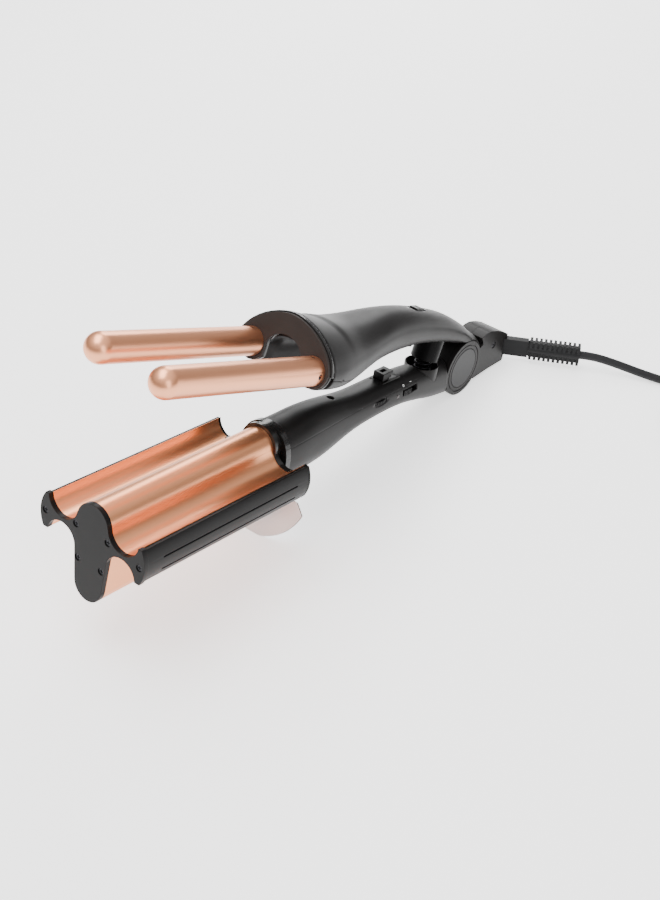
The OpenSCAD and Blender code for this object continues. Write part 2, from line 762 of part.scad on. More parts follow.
module stand_bracket() color([0.6, 0.6, 0.62]) place() difference() {
    union() {
        block([133, 145], [-7, 7], [-20, -18.5]);
        block([139.2, 141.5], [-ear_y[1], ear_y[1]], [-20, -18.5]);
        both_sides() {
            block([133, 141.5], ear_y, [-20, -18.5]);
            block([133.4, 138.6], ear_y, [stand_z - 2.6, -18.5]);
        }
    }
    rod_y(stand_x, stand_z, knuckle_r + 0.3, -knuckle_half - 0.3, knuckle_half + 0.3);
    rod_y(stand_x, stand_z, stand_pin_r, -30, 30);
    for (s = [-1, 1]) rod_z(142, s * 4.5, 0.9, -25, -15);
}

// ---- upper arm -------------------------------------------------------------------------

module upper_form(d, n) loft(upper_st, d, n);

module below_parting(d) along_y(-40, 40)
    polygon([[head_x - 1, -30], [head_x - 1, head_parting_z - d],
        [head_x + 93, head_parting_z - d - 93 * tan(head_parting_slope)], [head_x + 93, -30]]);

// room inside the upper handle, and the way down out of it
module upper_hollow(d, n) loft(upper_hollow_st, shell_wall + d, n);

module underside(d) translate([0, 0, -opening_drop])
    loft(upper_hollow_st, opening_inset + d, inner_sides);

module rear_cuts() {
    rod_y(pivot_x, 0, ring_clear_r, knuckle_hub_y + 0.2, 30);
    rod_y(pivot_x, 0, ring_clear_r, -30, -knuckle_hub_y - 0.2);
    along_y(-30, 30) translate([pivot_x, 0])
        sector(dome_angle - 120, dome_angle, 90);
}

module cup_space(r, top) rod_z(cup_x, 0, r, 0, top);

module upper_shell() color([0.17, 0.17, 0.18]) let ($fn = 40) upper() difference() {
    union() {
        difference() {
            upper_form(0, outer_sides);
            upper_hollow(0, inner_sides);
            underside(0);
            below_parting(0);
            rear_cuts();
        }
        rod_y(pivot_x, 0, knuckle_hub_r, -knuckle_hub_y, knuckle_hub_y);
        for (x = [206, 262]) rod_z(x, 0, 3, 21.5, 35);
    }
    cup_space(cup_r + fit, cup_top + fit);
    rod_y(pivot_x, 0, pin_r + fit, -30, 30);
    block([mode_x[0], mode_x[1]], [-3, 3], [30, 45]);
    for (x = [206, 262]) rod_z(x, 0, 1, 20, 32);
}

module channel(d) {
    loft(channel_st, -0.7 - d, inner_sides);
    rod_x(0, lobe_z, 12.6 + d, 120, 134);
}

module latch_pocket(d) block([latch_x[0] - d, latch_x[1] + d], [-latch_half - d, latch_half + d],
    [0, latch_roof + d]);

module upper_cover() color([0.15, 0.15, 0.16]) let ($fn = 40) upper() difference() {
    union() {
        intersection() {
            upper_form(0, outer_sides);
            union() {
                underside(seam);
                below_parting(seam);
                upper_hollow(seam, inner_sides);
            }
            union() {
                difference() {
                    union() {
                        underside(seam);
                        below_parting(seam);
                    }
                    upper_hollow(0, inner_sides);
                }
                channel(1.8);
                latch_pocket(1.6);
                for (x = [206, 262]) rod_z(x, 0, 3.4, 10, 21.4);
            }
            block([head_x - 9, 296], [-40, 40], [-20, 60]);
        }
        catch_tab();
    }
    channel(0);
    difference() {
        latch_pocket(0);
        catch_tab();
    }
    cup_space(cup_r + fit, cup_top + fit);
    for (x = [206, 262]) {
        rod_z(x, 0, 1, 0, 30);
        rod_z(x, 0, 2.2, 0, 19);
    }
}

// lip that the lock's hook slides over
module catch_tab() {
    block([lip_x[1], lip_x[1] + 2.5], [-3.6, 3.6], [lip_z[0], latch_roof + 0.8]);
    block([lip_x[0], lip_x[1] + 0.5], [-3.6, 3.6], lip_z);
}

module upper_screws() color([0.55, 0.56, 0.58]) upper() for (x = [206, 262]) {
    rod_z(x, 0, 0.9, 19, 31);
    difference() {
        rod_z(x, 0, 2, 17.6, 19);
        rod_z(x, 0, 0.9, 17, 18.3);
    }
}

module mode_switch() color([0.07, 0.07, 0.08]) upper() {
    difference() {
        block(mode_knob, [-2.8, 2.8], [34.1, 38.4]);
        for (i = [0:2]) block([mode_knob[0] + 1.6 + 1.5 * i, mode_knob[0] + 2.3 + 1.5 * i],
            [-4, 4], [37.9, 40]);
    }
    block([mode_knob[0] - 1, mode_knob[1] + 1], [-4, 4], [33.2, 34.1]);
}

module face_outline(d, leg) difference() {
    intersection() {
        polygon(flat_ring(upper_st[0], d, 48));
        union() {
            translate([-40, barrel_z + 0.2]) square([80, 40]);
            for (s = [-1, 1]) translate([s * 21, barrel_z]) circle(leg);
        }
    }
    translate([-arch_half, -10]) square([2 * arch_half, 10 + barrel_z]);
    polygon([for (a = [0:7.5:180]) [arch_half * cos(a), barrel_z
        + (arch_top - barrel_z) * sin(a)]]);
    for (s = [-1, 1]) translate([s * barrel_y, barrel_z]) circle(barrel_r + fit);
}

module face_plate() color([0.27, 0.24, 0.23]) upper() along_x(face_x, bead_x)
    face_outline(0.9, leg_r);

module head_bead() color([0.05, 0.05, 0.06]) upper() along_x(bead_x, head_x)
    face_outline(0, bead_leg_r);

module barrel_screw_holes(r, depth) for (turn = barrel_screw_turns)
    translate([0, barrel_y, barrel_z]) rotate([turn, 0, 0])
        rod_y(barrel_screw_x, 0, r, barrel_r - depth, barrel_r + 1);

module barrel() difference() {
    union() {
        rod_x(barrel_y, barrel_z, barrel_r, barrel_tip + barrel_r, barrel_end);
        translate([barrel_tip + barrel_r, barrel_y, barrel_z]) sphere(barrel_r);
    }
    rod_x(barrel_y, barrel_z, barrel_r - barrel_wall, barrel_tip + barrel_r, barrel_end + 1);
    translate([barrel_tip + barrel_r, barrel_y, barrel_z]) sphere(barrel_r - barrel_wall);
    barrel_screw_holes(1.1, 4);
}

module near_barrel() color([0.88, 0.6, 0.48]) upper() mirror([0, 1, 0]) barrel();

module far_barrel() color([0.88, 0.6, 0.48]) upper() barrel();

module barrel_mounts() color([0.8, 0.78, 0.72]) upper() both_sides() difference() {
    union() {
        rod_x(barrel_y, barrel_z, barrel_r - barrel_wall - fit, 112, head_x + 0.2);
        rod_x(21.4, 13, 7, head_x + 0.1, 130);
    }
    rod_x(barrel_y, barrel_z, 2, 111, 132);
    block([126, 140], [0, 19.3], [0, 40]);
    barrel_screw_holes(0.8, 5);
}

module barrel_screws() color([0.25, 0.2, 0.18]) upper() both_sides()
    for (turn = barrel_screw_turns) translate([0, barrel_y, barrel_z]) rotate([turn, 0, 0])
        rod_y(barrel_screw_x, 0, 0.8, barrel_r - 4.5, barrel_r - 0.9);

module rod_heater() {
    rod_x(barrel_y, barrel_z, 4.2, 10, 111);
    for (x = [14, 60, 104])
        rod_x(barrel_y, barrel_z, barrel_r - barrel_wall - fit, x, x + 4);
}

module near_heater() color([0.9, 0.86, 0.78]) upper() mirror([0, 1, 0]) rod_heater();

module far_heater() color([0.9, 0.86, 0.78]) upper() rod_heater();

module spring_cup() color([0.05, 0.05, 0.06]) upper() difference() {
    rod_z(cup_x, 0, cup_r, cup_low, cup_top);
    rod_z(cup_x, 0, cup_bore, cup_low - 1, cup_roof);
    rod_z(cup_x, 0, cup_bore - 1, cup_roof + 1.5, cup_top + 1);
}

// ---- boot, cord and plug ---------------------------------------------------------------

module at_boot() translate([boot_x, 0, boot_z]) rotate([0, 0, -boot_swing]) children();

module cord_boot() color([0.1, 0.1, 0.11]) at_boot() difference() {
    union() {
        rod_z(0, 0, boot_root_r, -boot_h / 2, boot_h / 2);
        block([0, boot_plain], [-boot_w / 2, boot_w / 2], [-boot_h / 2, boot_h / 2]);
        block([boot_plain, boot_len], [-1.9, 1.9], [-4.7, 4.7]);
        rod_x(0, 0, cord_r + 0.5, boot_plain, boot_len);
        for (i = [0:boot_ribs - 1])
            let (x = boot_plain + 1 + i * (boot_len - boot_plain - 2.9) / (boot_ribs - 1))
            block([x, x + rib_t], [-rib_w / 2, rib_w / 2], [-6.1, 6.1]);
    }
    rod_z(0, 0, boot_bore, -10, 10);
}

module boot_pin() color([0.7, 0.7, 0.72]) place() boot_pin_space(boot_pin_r);

free_path = [for (p = free_route) [p[0], -p[1], p[2]]];

module mains_cord() color([0.09, 0.09, 0.1]) at_boot()
    translate([boot_len, 0, 0]) tube(free_path, cord_r, 8);

// the coil starts where the free stretch ends, on its right-hand side
module at_coil() at_boot() translate([boot_len, 0, -boot_z])
    translate([free_path[len(free_path) - 1][0], free_path[len(free_path) - 1][1], 0])
    rotate([0, 0, boot_swing - coil_heading]) translate([cord_d, 0, 0])
    rotate([0, 0, 90]) translate([-coil_out_r, 0, 0]) children();

module cord_coil() color([0.09, 0.09, 0.1]) at_coil() tube(coil_path, cord_r, coil_sides);

coil_last = coil_path[len(coil_path) - 1];
coil_last_way = unit(coil_last - coil_path[len(coil_path) - 2]);
plug_turn = atan2(coil_last_way[1], coil_last_way[0]);
plug_rise = plug_z - coil_last[2];
plug_route = [for (t = [0:0.125:1]) [plug_run * t, 0, plug_rise * t * t * (3 - 2 * t)]];

module at_plug() at_coil() translate(coil_last) rotate([0, 0, plug_turn]) children();

module plug_lead() color([0.09, 0.09, 0.1]) at_plug() tube(plug_route, cord_r, 8);

module plug_body() color([0.09, 0.09, 0.1]) at_plug()
    translate([plug_run, 0, plug_rise]) difference() {
        intersection() {
            translate([0, 0, -plug_t / 2]) linear_extrude(plug_t)
                polygon([[0, -5], [10, -7.5], [18, -plug_w / 2], [plug_len, -plug_w / 2],
                    [plug_len, plug_w / 2], [18, plug_w / 2], [10, 7.5], [0, 5]]);
            along_y(-20, 20) polygon([[0, -4.6], [14, -plug_t / 2], [plug_len, -plug_t / 2],
                [plug_len, plug_t / 2], [14, plug_t / 2], [0, 4.6]]);
        }
        for (s = [-1, 1]) rod_x(s * plug_pin_gap / 2, 0, plug_shank_r, plug_len - 6, plug_len + 1);
    }

module plug_pins() color([0.8, 0.78, 0.7]) at_plug() translate([plug_run, 0, plug_rise])
    for (s = [-1, 1]) {
        rod_x(s * plug_pin_gap / 2, 0, plug_shank_r, plug_len - 6, plug_len);
        rod_x(s * plug_pin_gap / 2, 0, plug_pin_r, plug_len, plug_len + plug_pin_len);
    }

// ---- measures that the source prints ---------------------------------------------------

function run_length(p) = [for (i = 1, s = norm(p[1] - p[0]); i < len(p);
    i = i + 1, s = i < len(p) ? s + norm(p[i] - p[i - 1]) : s) s][len(p) - 2];

// least gap between stretches of one tube that are at least far_apart points apart
function self_gap(p, far_apart, d) = min([for (i = [0:len(p) - 1 - far_apart],
    j = [i + far_apart:len(p) - 1]) norm(p[i] - p[j])]) - d;

echo(coil_gap = self_gap(coil_path, 16, cord_d), spring_gap = self_gap(spring_turn, 6, spring_wire));
echo(free = run_length(free_path), coil = run_length(coil_path), plug = plug_run);
echo(pitch = pitch, lift = lift, origin_x = origin_x, boot = [boot_x, boot_z]);

// ---- nodes -----------------------------------------------------------------------------

lower_jaw();
front_end_cap();
rear_wing_caps();
near_side_rail();
far_side_rail();
jaw_end_screws();
jaw_heater();
heater_spreader();
jaw_collar();
lower_shell();
lower_cover();
near_hub_cheek();
far_hub_cheek();
near_hub_disc();
far_hub_disc();
pivot_pin();
pivot_washers();
return_spring();
lower_screws();
tail_screw();
lock_slider();
power_switch();
switch_body();
temperature_wheel();
dial_body();
status_lamp();
control_board();
cord_clamp();
stand_plate();
stand_pin();
stand_bracket();
upper_shell();
upper_cover();
face_plate();
head_bead();
near_barrel();
far_barrel();
barrel_mounts();
barrel_screws();
near_heater();
far_heater();
spring_cup();
mode_switch();
upper_screws();
cord_boot();
boot_pin();
mains_cord();
cord_coil();
plug_lead();
plug_body();
plug_pins();
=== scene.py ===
# %% [markdown]
# # A two-barrel hair waver, dressed for its portrait
# The working parts of the tool come in as a fixed frame, in metres, and are never moved here.
# Around that frame this lesson builds what the eye meets: smooth moulded handles, softened edges,
# rose-gold tubes, a ribbed cord boot and a lead that lies on the table.

import json
from contextlib import contextmanager
from math import atan2, cos, pi, radians, sin

import bpy
from mathutils import Matrix, Vector


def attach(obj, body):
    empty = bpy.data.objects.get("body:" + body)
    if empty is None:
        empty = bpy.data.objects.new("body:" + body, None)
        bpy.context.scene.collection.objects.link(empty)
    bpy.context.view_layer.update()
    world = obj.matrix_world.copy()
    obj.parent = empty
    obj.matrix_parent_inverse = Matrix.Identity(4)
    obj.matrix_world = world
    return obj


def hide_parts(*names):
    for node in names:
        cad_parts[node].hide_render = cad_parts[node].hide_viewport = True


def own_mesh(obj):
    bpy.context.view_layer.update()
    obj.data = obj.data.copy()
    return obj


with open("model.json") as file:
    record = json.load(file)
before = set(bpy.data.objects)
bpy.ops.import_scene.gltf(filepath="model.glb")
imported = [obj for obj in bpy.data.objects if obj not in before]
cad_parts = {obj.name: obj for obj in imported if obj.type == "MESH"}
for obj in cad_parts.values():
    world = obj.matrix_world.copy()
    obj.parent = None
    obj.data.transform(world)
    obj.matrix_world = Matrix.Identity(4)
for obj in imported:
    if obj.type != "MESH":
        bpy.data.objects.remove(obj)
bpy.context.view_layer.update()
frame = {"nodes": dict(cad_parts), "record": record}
mm = 0.001

# %% [markdown]
# ## Camera
# A catalogue picture looks down on the tool from the jaw's side, close enough for a little
# perspective. Heading, dip and a few degrees of roll say more than a matrix does, so the camera is
# built from these: it stands back from a point on the tool along its line of sight.

# %% Camera
def look(heading, dip, roll, target, distance, focal):
    ahead = Vector((cos(dip) * cos(heading), cos(dip) * sin(heading), -sin(dip)))
    level = Vector((sin(heading), -cos(heading), 0))
    rise = level.cross(ahead)
    right = cos(roll) * level + sin(roll) * rise
    up = right.cross(ahead)
    data = bpy.data.cameras.new("portrait")
    data.lens = focal
    camera = bpy.data.objects.new("portrait", data)
    turn = Matrix((right, up, -ahead)).transposed().to_4x4()
    camera.matrix_world = Matrix.Translation(target - distance * ahead) @ turn
    bpy.context.scene.collection.objects.link(camera)
    bpy.context.scene.camera = camera
    return camera


portrait = look(heading=radians(36.76), dip=radians(37.0), roll=radians(3.75),
                target=Vector((-38.6, -34.7, 60)) * mm, distance=787.7 * mm, focal=58.99)
print("camera stands at", [round(v, 3) for v in portrait.location])

# %% [markdown]
# ## Floor and studio light
# A pale floor fills the view and glows a little, as a light table does. One broad lamp overhead
# makes the long highlights on the tubes, two weaker ones lift the dark handles, and a sky that
# brightens upwards gives the soft reflections.

# %% Floor
floor_size = 9
bpy.ops.object.select_all(action="DESELECT")
bpy.ops.mesh.primitive_plane_add(size=floor_size)
floor = bpy.context.object
floor.name = "studio_floor"
print("floor:", floor_size, "m wide")


# %% Lamps
def lamp(name, place, aim, size, power):
    """A rectangular lamp of so many watts that points at its aim."""
    data = bpy.data.lights.new(name, "AREA")
    data.shape = "RECTANGLE"
    data.size, data.size_y = size
    data.energy = power
    light = bpy.data.objects.new(name, data)
    light.location = place
    light.rotation_euler = (Vector(aim) - Vector(place)).to_track_quat("-Z", "Y").to_euler()
    bpy.context.scene.collection.objects.link(light)


lamp("overhead_panel", place=(-0.15, 0.25, 1.1), aim=(0, 0, 0.05), size=(1.2, 0.6), power=14)
lamp("side_panel", place=(-0.5, -1.0, 0.55), aim=(0, 0, 0.06), size=(0.5, 0.9), power=5)
lamp("rear_panel", place=(0.9, 0.6, 0.6), aim=(0.1, 0, 0.06), size=(0.5, 0.8), power=8)

# %% Sky
sky = bpy.data.worlds.new("pale_sky")
sky.use_nodes = True
nodes, links = sky.node_tree.nodes, sky.node_tree.links
toward = nodes.new("ShaderNodeTexCoord")
apart = nodes.new("ShaderNodeSeparateXYZ")
fade = nodes.new("ShaderNodeValToRGB")
low_sky, high_sky = fade.color_ramp.elements
low_sky.position, low_sky.color = 0.12, (0.16, 0.16, 0.165, 1)
high_sky.position, high_sky.color = 0.75, (1, 1, 1, 1)
links.new(toward.outputs["Generated"], apart.inputs[0])
links.new(apart.outputs["Z"], fade.inputs["Fac"])
links.new(fade.outputs["Color"], nodes["Background"].inputs["Color"])
nodes["Background"].inputs["Strength"].default_value = 1.25
bpy.context.scene.world = sky
print("sky:", sky.name)

# %% [markdown]
# ## The lead
# The lead leaves its boot level, sinks to the table within a few centimetres, and the length that
# is not in the picture is wound into a neat round coil of two layers, with the plug beside it.
# Its route is the one that the frame's lead has: a few points listed one by one, then the turns by
# formula. Each point says how far ahead of the boot it lies, how far aside and how far up.

# %% Route of the lead
lead_size = 5.4 * mm
lead_half = lead_size / 2
boot_pivot = Vector((177.784, 0, 10.5331)) * mm
boot_swing = radians(60.5)
boot_length = 58 * mm
on_table = (lead_half - boot_pivot.z) / mm
stride, drift = 8, 1.4
free_route = [(0, 0, 0), (5, 0, -0.05), (10, 0, -0.4), (16, 0.2, -1.2), (22, 0.6, -2.3),
              (28, 1.1, -3.5), (34, 1.8, -4.7), (40, 2.6, -5.8), (46, 3.5, -6.7), (52, 4.5, -7.4),
              (58, 5.5, -7.8)]
free_route += [(64 + stride * i, 6.5 + drift * i, on_table) for i in range(6)]
from_boot = Matrix.Translation(boot_pivot) @ Matrix.Rotation(-boot_swing, 4, "Z")
free_path = [from_boot @ Vector((boot_length + ahead * mm, -aside * mm, up * mm))
             for ahead, aside, up in free_route]
print("free stretch:", len(free_path), "points")

# %% Turns of the coil
coil_inner = 20.8 * mm
coil_pitch = 6 * mm
turns_in = 3.875
turns_up = 0.5
turns_all = 8.3125
coil_dip = 0.7 * mm
layer_rise = 5.9 * mm
turn_points = 24
coil_outer = coil_inner + coil_pitch * turns_in


def smooth(t):
    """From 0 to 1 with level ends, and held there beyond them."""
    t = min(1, max(0, t))
    return t * t * (3 - 2 * t)


def coil_point(turn):
    """Inwards in the lower layer, half a turn up, then outwards in the upper layer."""
    climb = (turn - turns_in) / turns_up
    if turn < turns_in:
        radius = coil_outer - coil_pitch * turn
    elif turn < turns_in + turns_up:
        radius = coil_inner - coil_dip * sin(pi * climb)
    else:
        radius = coil_inner + coil_pitch * (turn - turns_in - turns_up)
    angle = -2 * pi * turn
    return Vector((radius * cos(angle), radius * sin(angle),
                   lead_half + layer_rise * smooth(climb)))


flat_end = Vector((free_path[-1].x, free_path[-1].y, 0))
bearing = -(boot_swing + atan2(drift, stride))
to_coil = (Matrix.Translation(flat_end) @ Matrix.Rotation(bearing, 4, "Z")
           @ Matrix.Translation((lead_size, 0, 0)) @ Matrix.Rotation(pi / 2, 4, "Z")
           @ Matrix.Translation((-coil_outer, 0, 0)))
nudge = 0.01
first_way = (coil_point(nudge) - coil_point(0)).normalized()
last_way = (coil_point(turns_all) - coil_point(turns_all - nudge)).normalized()
coil_points = [coil_point(0) - lead_size * first_way]
coil_steps = round(turns_all * turn_points)
coil_points += [coil_point(turns_all * i / coil_steps) for i in range(coil_steps + 1)]
coil_points += [coil_point(turns_all) + lead_size * last_way]
coil_path = [to_coil @ p for p in coil_points]
print("coil:", turns_all, "turns,", round(2 * coil_outer / mm), "mm across its middle line")

# %% Run to the plug
plug_run = 34 * mm
plug_height = 6.9 * mm
plug_steps = 8
run_rise = plug_height - coil_points[-1].z
to_plug = (to_coil @ Matrix.Translation(coil_points[-1])
           @ Matrix.Rotation(atan2(last_way.y, last_way.x), 4, "Z"))
plug_path = [to_plug @ Vector((plug_run * t, 0, run_rise * smooth(t)))
             for t in [i / plug_steps for i in range(plug_steps + 1)]]
lead_path = free_path[:-1] + coil_path + plug_path[1:]
lead_length = sum((b - a).length for a, b in zip(lead_path, lead_path[1:]))
print("lead:", len(lead_path), "points,", round(lead_length, 3), "m")


# %% The lead as a mesh
def only(piece):
    bpy.ops.object.select_all(action="DESELECT")
    piece.select_set(True)
    bpy.context.view_layer.objects.active = piece


def soft_line(name, path, thickness):
    """A round cord on one smooth open spline, made a mesh."""
    curve = bpy.data.curves.new(name, "CURVE")
    curve.dimensions = "3D"
    curve.bevel_depth = thickness / 2
    curve.bevel_resolution = 5
    curve.resolution_u = 3
    curve.render_resolution_u = 3
    curve.use_fill_caps = True
    spline = curve.splines.new("BEZIER")
    last = len(path) - 1
    spline.bezier_points.add(last)
    for i, (knot, place) in enumerate(zip(spline.bezier_points, path)):
        lean = (path[min(i + 1, last)] - path[max(i - 1, 0)]) / 6
        knot.handle_left_type = knot.handle_right_type = "FREE"
        knot.co, knot.handle_left, knot.handle_right = place, place - lean, place + lean
    line = bpy.data.objects.new(name, curve)
    bpy.context.scene.collection.objects.link(line)
    only(line)
    bpy.ops.object.convert(target="MESH")
    return line


lead = soft_line("mains_lead", lead_path, lead_size)
bpy.ops.object.shade_smooth()
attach(lead, "swivel_cord")
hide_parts("mains_cord", "cord_coil", "plug_lead")
print("lead:", len(lead.data.polygons), "faces")

# %% [markdown]
# ## Finishes
# Every surface gets a small node tree. Shader sums read best as sums, so one class wraps a socket
# and turns +, - and * into Math nodes, and one method adds any other node: its settings first,
# then the values or links of its sockets.

# %% Wires and finishes
class Wire:
    """A socket that takes part in a sum; each operation adds a Math node."""

    def __init__(self, finish, socket):
        self.finish = finish
        self.socket = socket

    def maths(self, operation, other):
        return self.finish.node("ShaderNodeMath", {"operation": operation}, {0: self, 1: other})

    def __add__(self, other):
        return self.maths("ADD", other)

    def __mul__(self, other):
        return self.maths("MULTIPLY", other)

    def __sub__(self, other):
        return self.maths("SUBTRACT", other)

    __radd__ = __add__
    __rmul__ = __mul__


class Finish:
    """A material whose shader is fed by name."""

    def __init__(self, name):
        self.material = bpy.data.materials.new(name)
        self.material.use_nodes = True
        self.tree = self.material.node_tree
        self.shader = self.tree.nodes["Principled BSDF"]

    def connect(self, socket, value):
        if isinstance(value, Wire):
            self.tree.links.new(value.socket, socket)
        else:
            socket.default_value = value

    def node(self, kind, settings=None, inputs=None, output=0):
        made = self.tree.nodes.new(kind)
        for name, value in (settings or {}).items():
            setattr(made, name, value)
        for key, value in (inputs or {}).items():
            self.connect(made.inputs[key], value)
        return Wire(self, made.outputs[output])

    def feed(self, **values):
        for name, value in values.items():
            self.connect(self.shader.inputs[name.replace("_", " ")], value)

    def place(self, stretch=(1, 1, 1), tip=0.0):
        """Object coordinates, in metres, levelled and then stretched to draw a pattern out."""
        here = self.node("ShaderNodeTexCoord", output="Object")
        level = self.node("ShaderNodeMapping", inputs={"Vector": here, "Rotation": (0, -tip, 0)})
        return self.node("ShaderNodeMapping", inputs={"Vector": level, "Scale": stretch})

    def noise(self, size, detail=2.0, stretch=(1, 1, 1), tip=0.0):
        """Noise whose blotches are about size metres across."""
        return self.node("ShaderNodeTexNoise", inputs={
            "Vector": self.place(stretch, tip), "Scale": 1 / size, "Detail": detail})

    def between(self, mask, first, second):
        """A Mix node has one set of sockets for each kind of data: 6, 7 and 2 are colours."""
        return self.node("ShaderNodeMix", {"data_type": "RGBA"},
                         {0: mask, 6: (*first, 1), 7: (*second, 1)}, output=2)

    def bump(self, height, strength, depth):
        return self.node("ShaderNodeBump", inputs={
            "Height": height, "Strength": strength, "Distance": depth})


print("wires ready")

# %% [markdown]
# ### Moulded plastic
# The handles come out of a mould with a fine spark-eroded grain: small pits, a little unevenness in
# gloss and hardly any in colour. A noise of a third of a millimetre makes the pits, and a broad one
# lets the sheen wander. The level says how much the bare surface mirrors, the sheen how much a
# clear coat over it does.

# %% Moulded plastic and rubber
def shades(colour, spread):
    return [tuple(c * (1 + k * spread) for c in colour) for k in (-1, 1)]


def moulded(name, colour, rough, grain, pit=0.35 * mm, spread=0.12, sheen=0.0, level=0.13):
    finish = Finish(name)
    broad = finish.noise(25 * mm, detail=3)
    pits = finish.noise(pit, detail=2)
    dark, light = shades(colour, spread)
    finish.feed(Base_Color=finish.between(broad, dark, light),
                Roughness=rough + 0.1 * (broad - 0.5) + 0.08 * (pits - 0.5),
                Normal=finish.bump(pits, strength=grain, depth=0.06 * mm),
                Specular_IOR_Level=level, Coat_Weight=sheen, Coat_Roughness=0.3)
    return finish.material


plastics = {
    "charcoal": moulded("charcoal_shell", (0.0078, 0.0071, 0.007), 0.38, 0.22),
    "charcoal_light": moulded("charcoal_cheek", (0.0078, 0.007, 0.0068), 0.38, 0.22),
    "trim": moulded("black_trim", (0.0045, 0.0042, 0.0042), 0.36, 0.2),
    "face": moulded("brown_face", (0.03, 0.0245, 0.0225), 0.56, 0.8, pit=0.55 * mm, spread=0.25),
    "rubber": moulded("boot_rubber", (0.009, 0.009, 0.0095), 0.4, 0.25, pit=0.5 * mm),
    "lead": moulded("lead_skin", (0.018, 0.018, 0.019), 0.42, 0.15, pit=0.6 * mm),
    "disc": moulded("hub_disc", (0.014, 0.0138, 0.0145), 0.32, 0.15, sheen=0.04),
    "ceramic": moulded("heater_ceramic", (0.72, 0.68, 0.6), 0.6, 0.3, spread=0.06)}
print("moulded:", *plastics)

# %% [markdown]
# ### Glossy parts
# The collar, the bead behind the face plate and the lamp's lens are polished in the mould. A slow
# ripple in the surface keeps their reflections from looking like glass.

# %% Glossy plastic
def polished(name, colour, rough):
    finish = Finish(name)
    ripple = finish.noise(6 * mm, detail=1)
    broad = finish.noise(30 * mm, detail=2)
    dark, light = shades(colour, 0.2)
    finish.feed(Base_Color=finish.between(broad, dark, light), Roughness=rough + 0.06 * broad,
                Normal=finish.bump(ripple, strength=0.12, depth=0.1 * mm),
                Specular_IOR_Level=0.3, Coat_Weight=0.25, Coat_Roughness=0.08)
    return finish.material


glossy = {"gloss": polished("gloss_black", (0.007, 0.0066, 0.0064), 0.24),
          "lamp": polished("lamp_lens", (0.012, 0.003, 0.003), 0.35),
          "board": polished("board_laminate", (0.02, 0.11, 0.05), 0.3)}
print("glossy:", *glossy)

# %% [markdown]
# ### Rose-gold tubes and jaw
# The heated parts are drawn or extruded aluminium under a thin ceramic coat with metal flakes. The
# drawing leaves faint lines along the length, the coat adds a sparkle of fine grain, and both
# spread the highlight into a soft streak. The tip lays the lines along the part as it leans.

# %% Rose gold
def rose_gold(name, colour, rough, lines, tip):
    finish = Finish(name)
    drawn = finish.noise(0.6 * mm, detail=3, stretch=(0.02, 1, 1), tip=tip)
    flakes = finish.noise(0.18 * mm, detail=1)
    broad = finish.noise(30 * mm, detail=2)
    dark, light = shades(colour, 0.05)
    finish.feed(Base_Color=finish.between(0.5 * broad + 0.5 * flakes, dark, light),
                Metallic=0.9 + 0.08 * flakes,
                Roughness=rough + 0.07 * (drawn - 0.5) + 0.05 * (flakes - 0.5),
                Normal=finish.bump(drawn + 0.6 * flakes, strength=lines, depth=0.012 * mm))
    return finish.material


coated = {
    "copper": rose_gold("copper_jaw", (0.87, 0.38, 0.19), 0.32, 0.25, tip=radians(8.9)),
    "barrel": rose_gold("copper_barrel", (0.85, 0.37, 0.2), 0.32, 0.22, tip=radians(23.4))}
print("coated:", *coated)

# %% [markdown]
# ### Bare metals
# Steel and aluminium keep the lines of the tool that cut or rolled them. A noise drawn out along
# one axis gives these scratches. The stand's brushed steel is made less purely metallic, and its
# pale
# colour is a painted reflection: it stays pale where only the dim side of the room is there to be
# mirrored.

# %% Steel and other metals
def metal(name, colour, rough, stretch=(1, 1, 1), scratch=0.3, pure=0.98):
    finish = Finish(name)
    lines = finish.noise(0.5 * mm, detail=3, stretch=stretch)
    broad = finish.noise(15 * mm, detail=2)
    dark, light = shades(colour, 0.06)
    finish.feed(Base_Color=finish.between(broad, dark, light), Metallic=pure + 0.02 * broad,
                Roughness=rough + 0.08 * (lines - 0.5) + 0.04 * (broad - 0.5),
                Normal=finish.bump(lines, strength=scratch, depth=0.01 * mm))
    return finish.material


metals = {
    "steel": metal("satin_steel", (0.55, 0.55, 0.56), 0.3, stretch=(1, 0.05, 1)),
    # the stand's near-white, barely metallic colour is a painted reflection of a bright room
    "polished": metal("stand_painted_reflection", (0.93, 0.94, 0.96), 0.5, stretch=(1, 0.03, 1),
                      scratch=0.15, pure=0.35),
    "dark_screw": metal("black_screw", (0.03, 0.03, 0.033), 0.35),
    "spring_steel": metal("black_spring", (0.02, 0.02, 0.022), 0.3),
    "raw_aluminium": metal("mill_aluminium", (0.7, 0.7, 0.72), 0.35, stretch=(0.03, 1, 1)),
    "plug_metal": metal("plug_nickel", (0.72, 0.69, 0.62), 0.2)}
finishes = {**plastics, **glossy, **coated, **metals}
print("finishes:", len(finishes))


# %% Paint the frame and the floor
def paint(piece, material):
    piece.data.materials.clear()
    piece.data.materials.append(material)


slot_of = {row["node"]: row["material_slot"] for row in frame["record"]["subparts"]}
body_of = {node: body for body, nodes in frame["record"]["behaviour"]["bodies"].items()
           for node in nodes}
for name, node in frame["nodes"].items():
    paint(node, finishes[slot_of[name]])
paint(lead, finishes["lead"])
backdrop = Finish("studio_white")
clouds = backdrop.noise(500 * mm)
backdrop.feed(Base_Color=backdrop.between(clouds, (0.9, 0.9, 0.9), (0.92, 0.92, 0.92)),
              Roughness=0.9, Specular_IOR_Level=0.1, Emission_Color=(1, 1, 1, 1),
              Emission_Strength=1.25)
paint(floor, backdrop.material)
print("painted:", len(frame["nodes"]), "nodes, the lead and the floor")

# %% [markdown]
# ## Working with pieces
# The bench tools: pick everything or some edges, cut with another solid, bevel, shade, and settle
# a finished piece on its body with the finish of the node that it stands for.

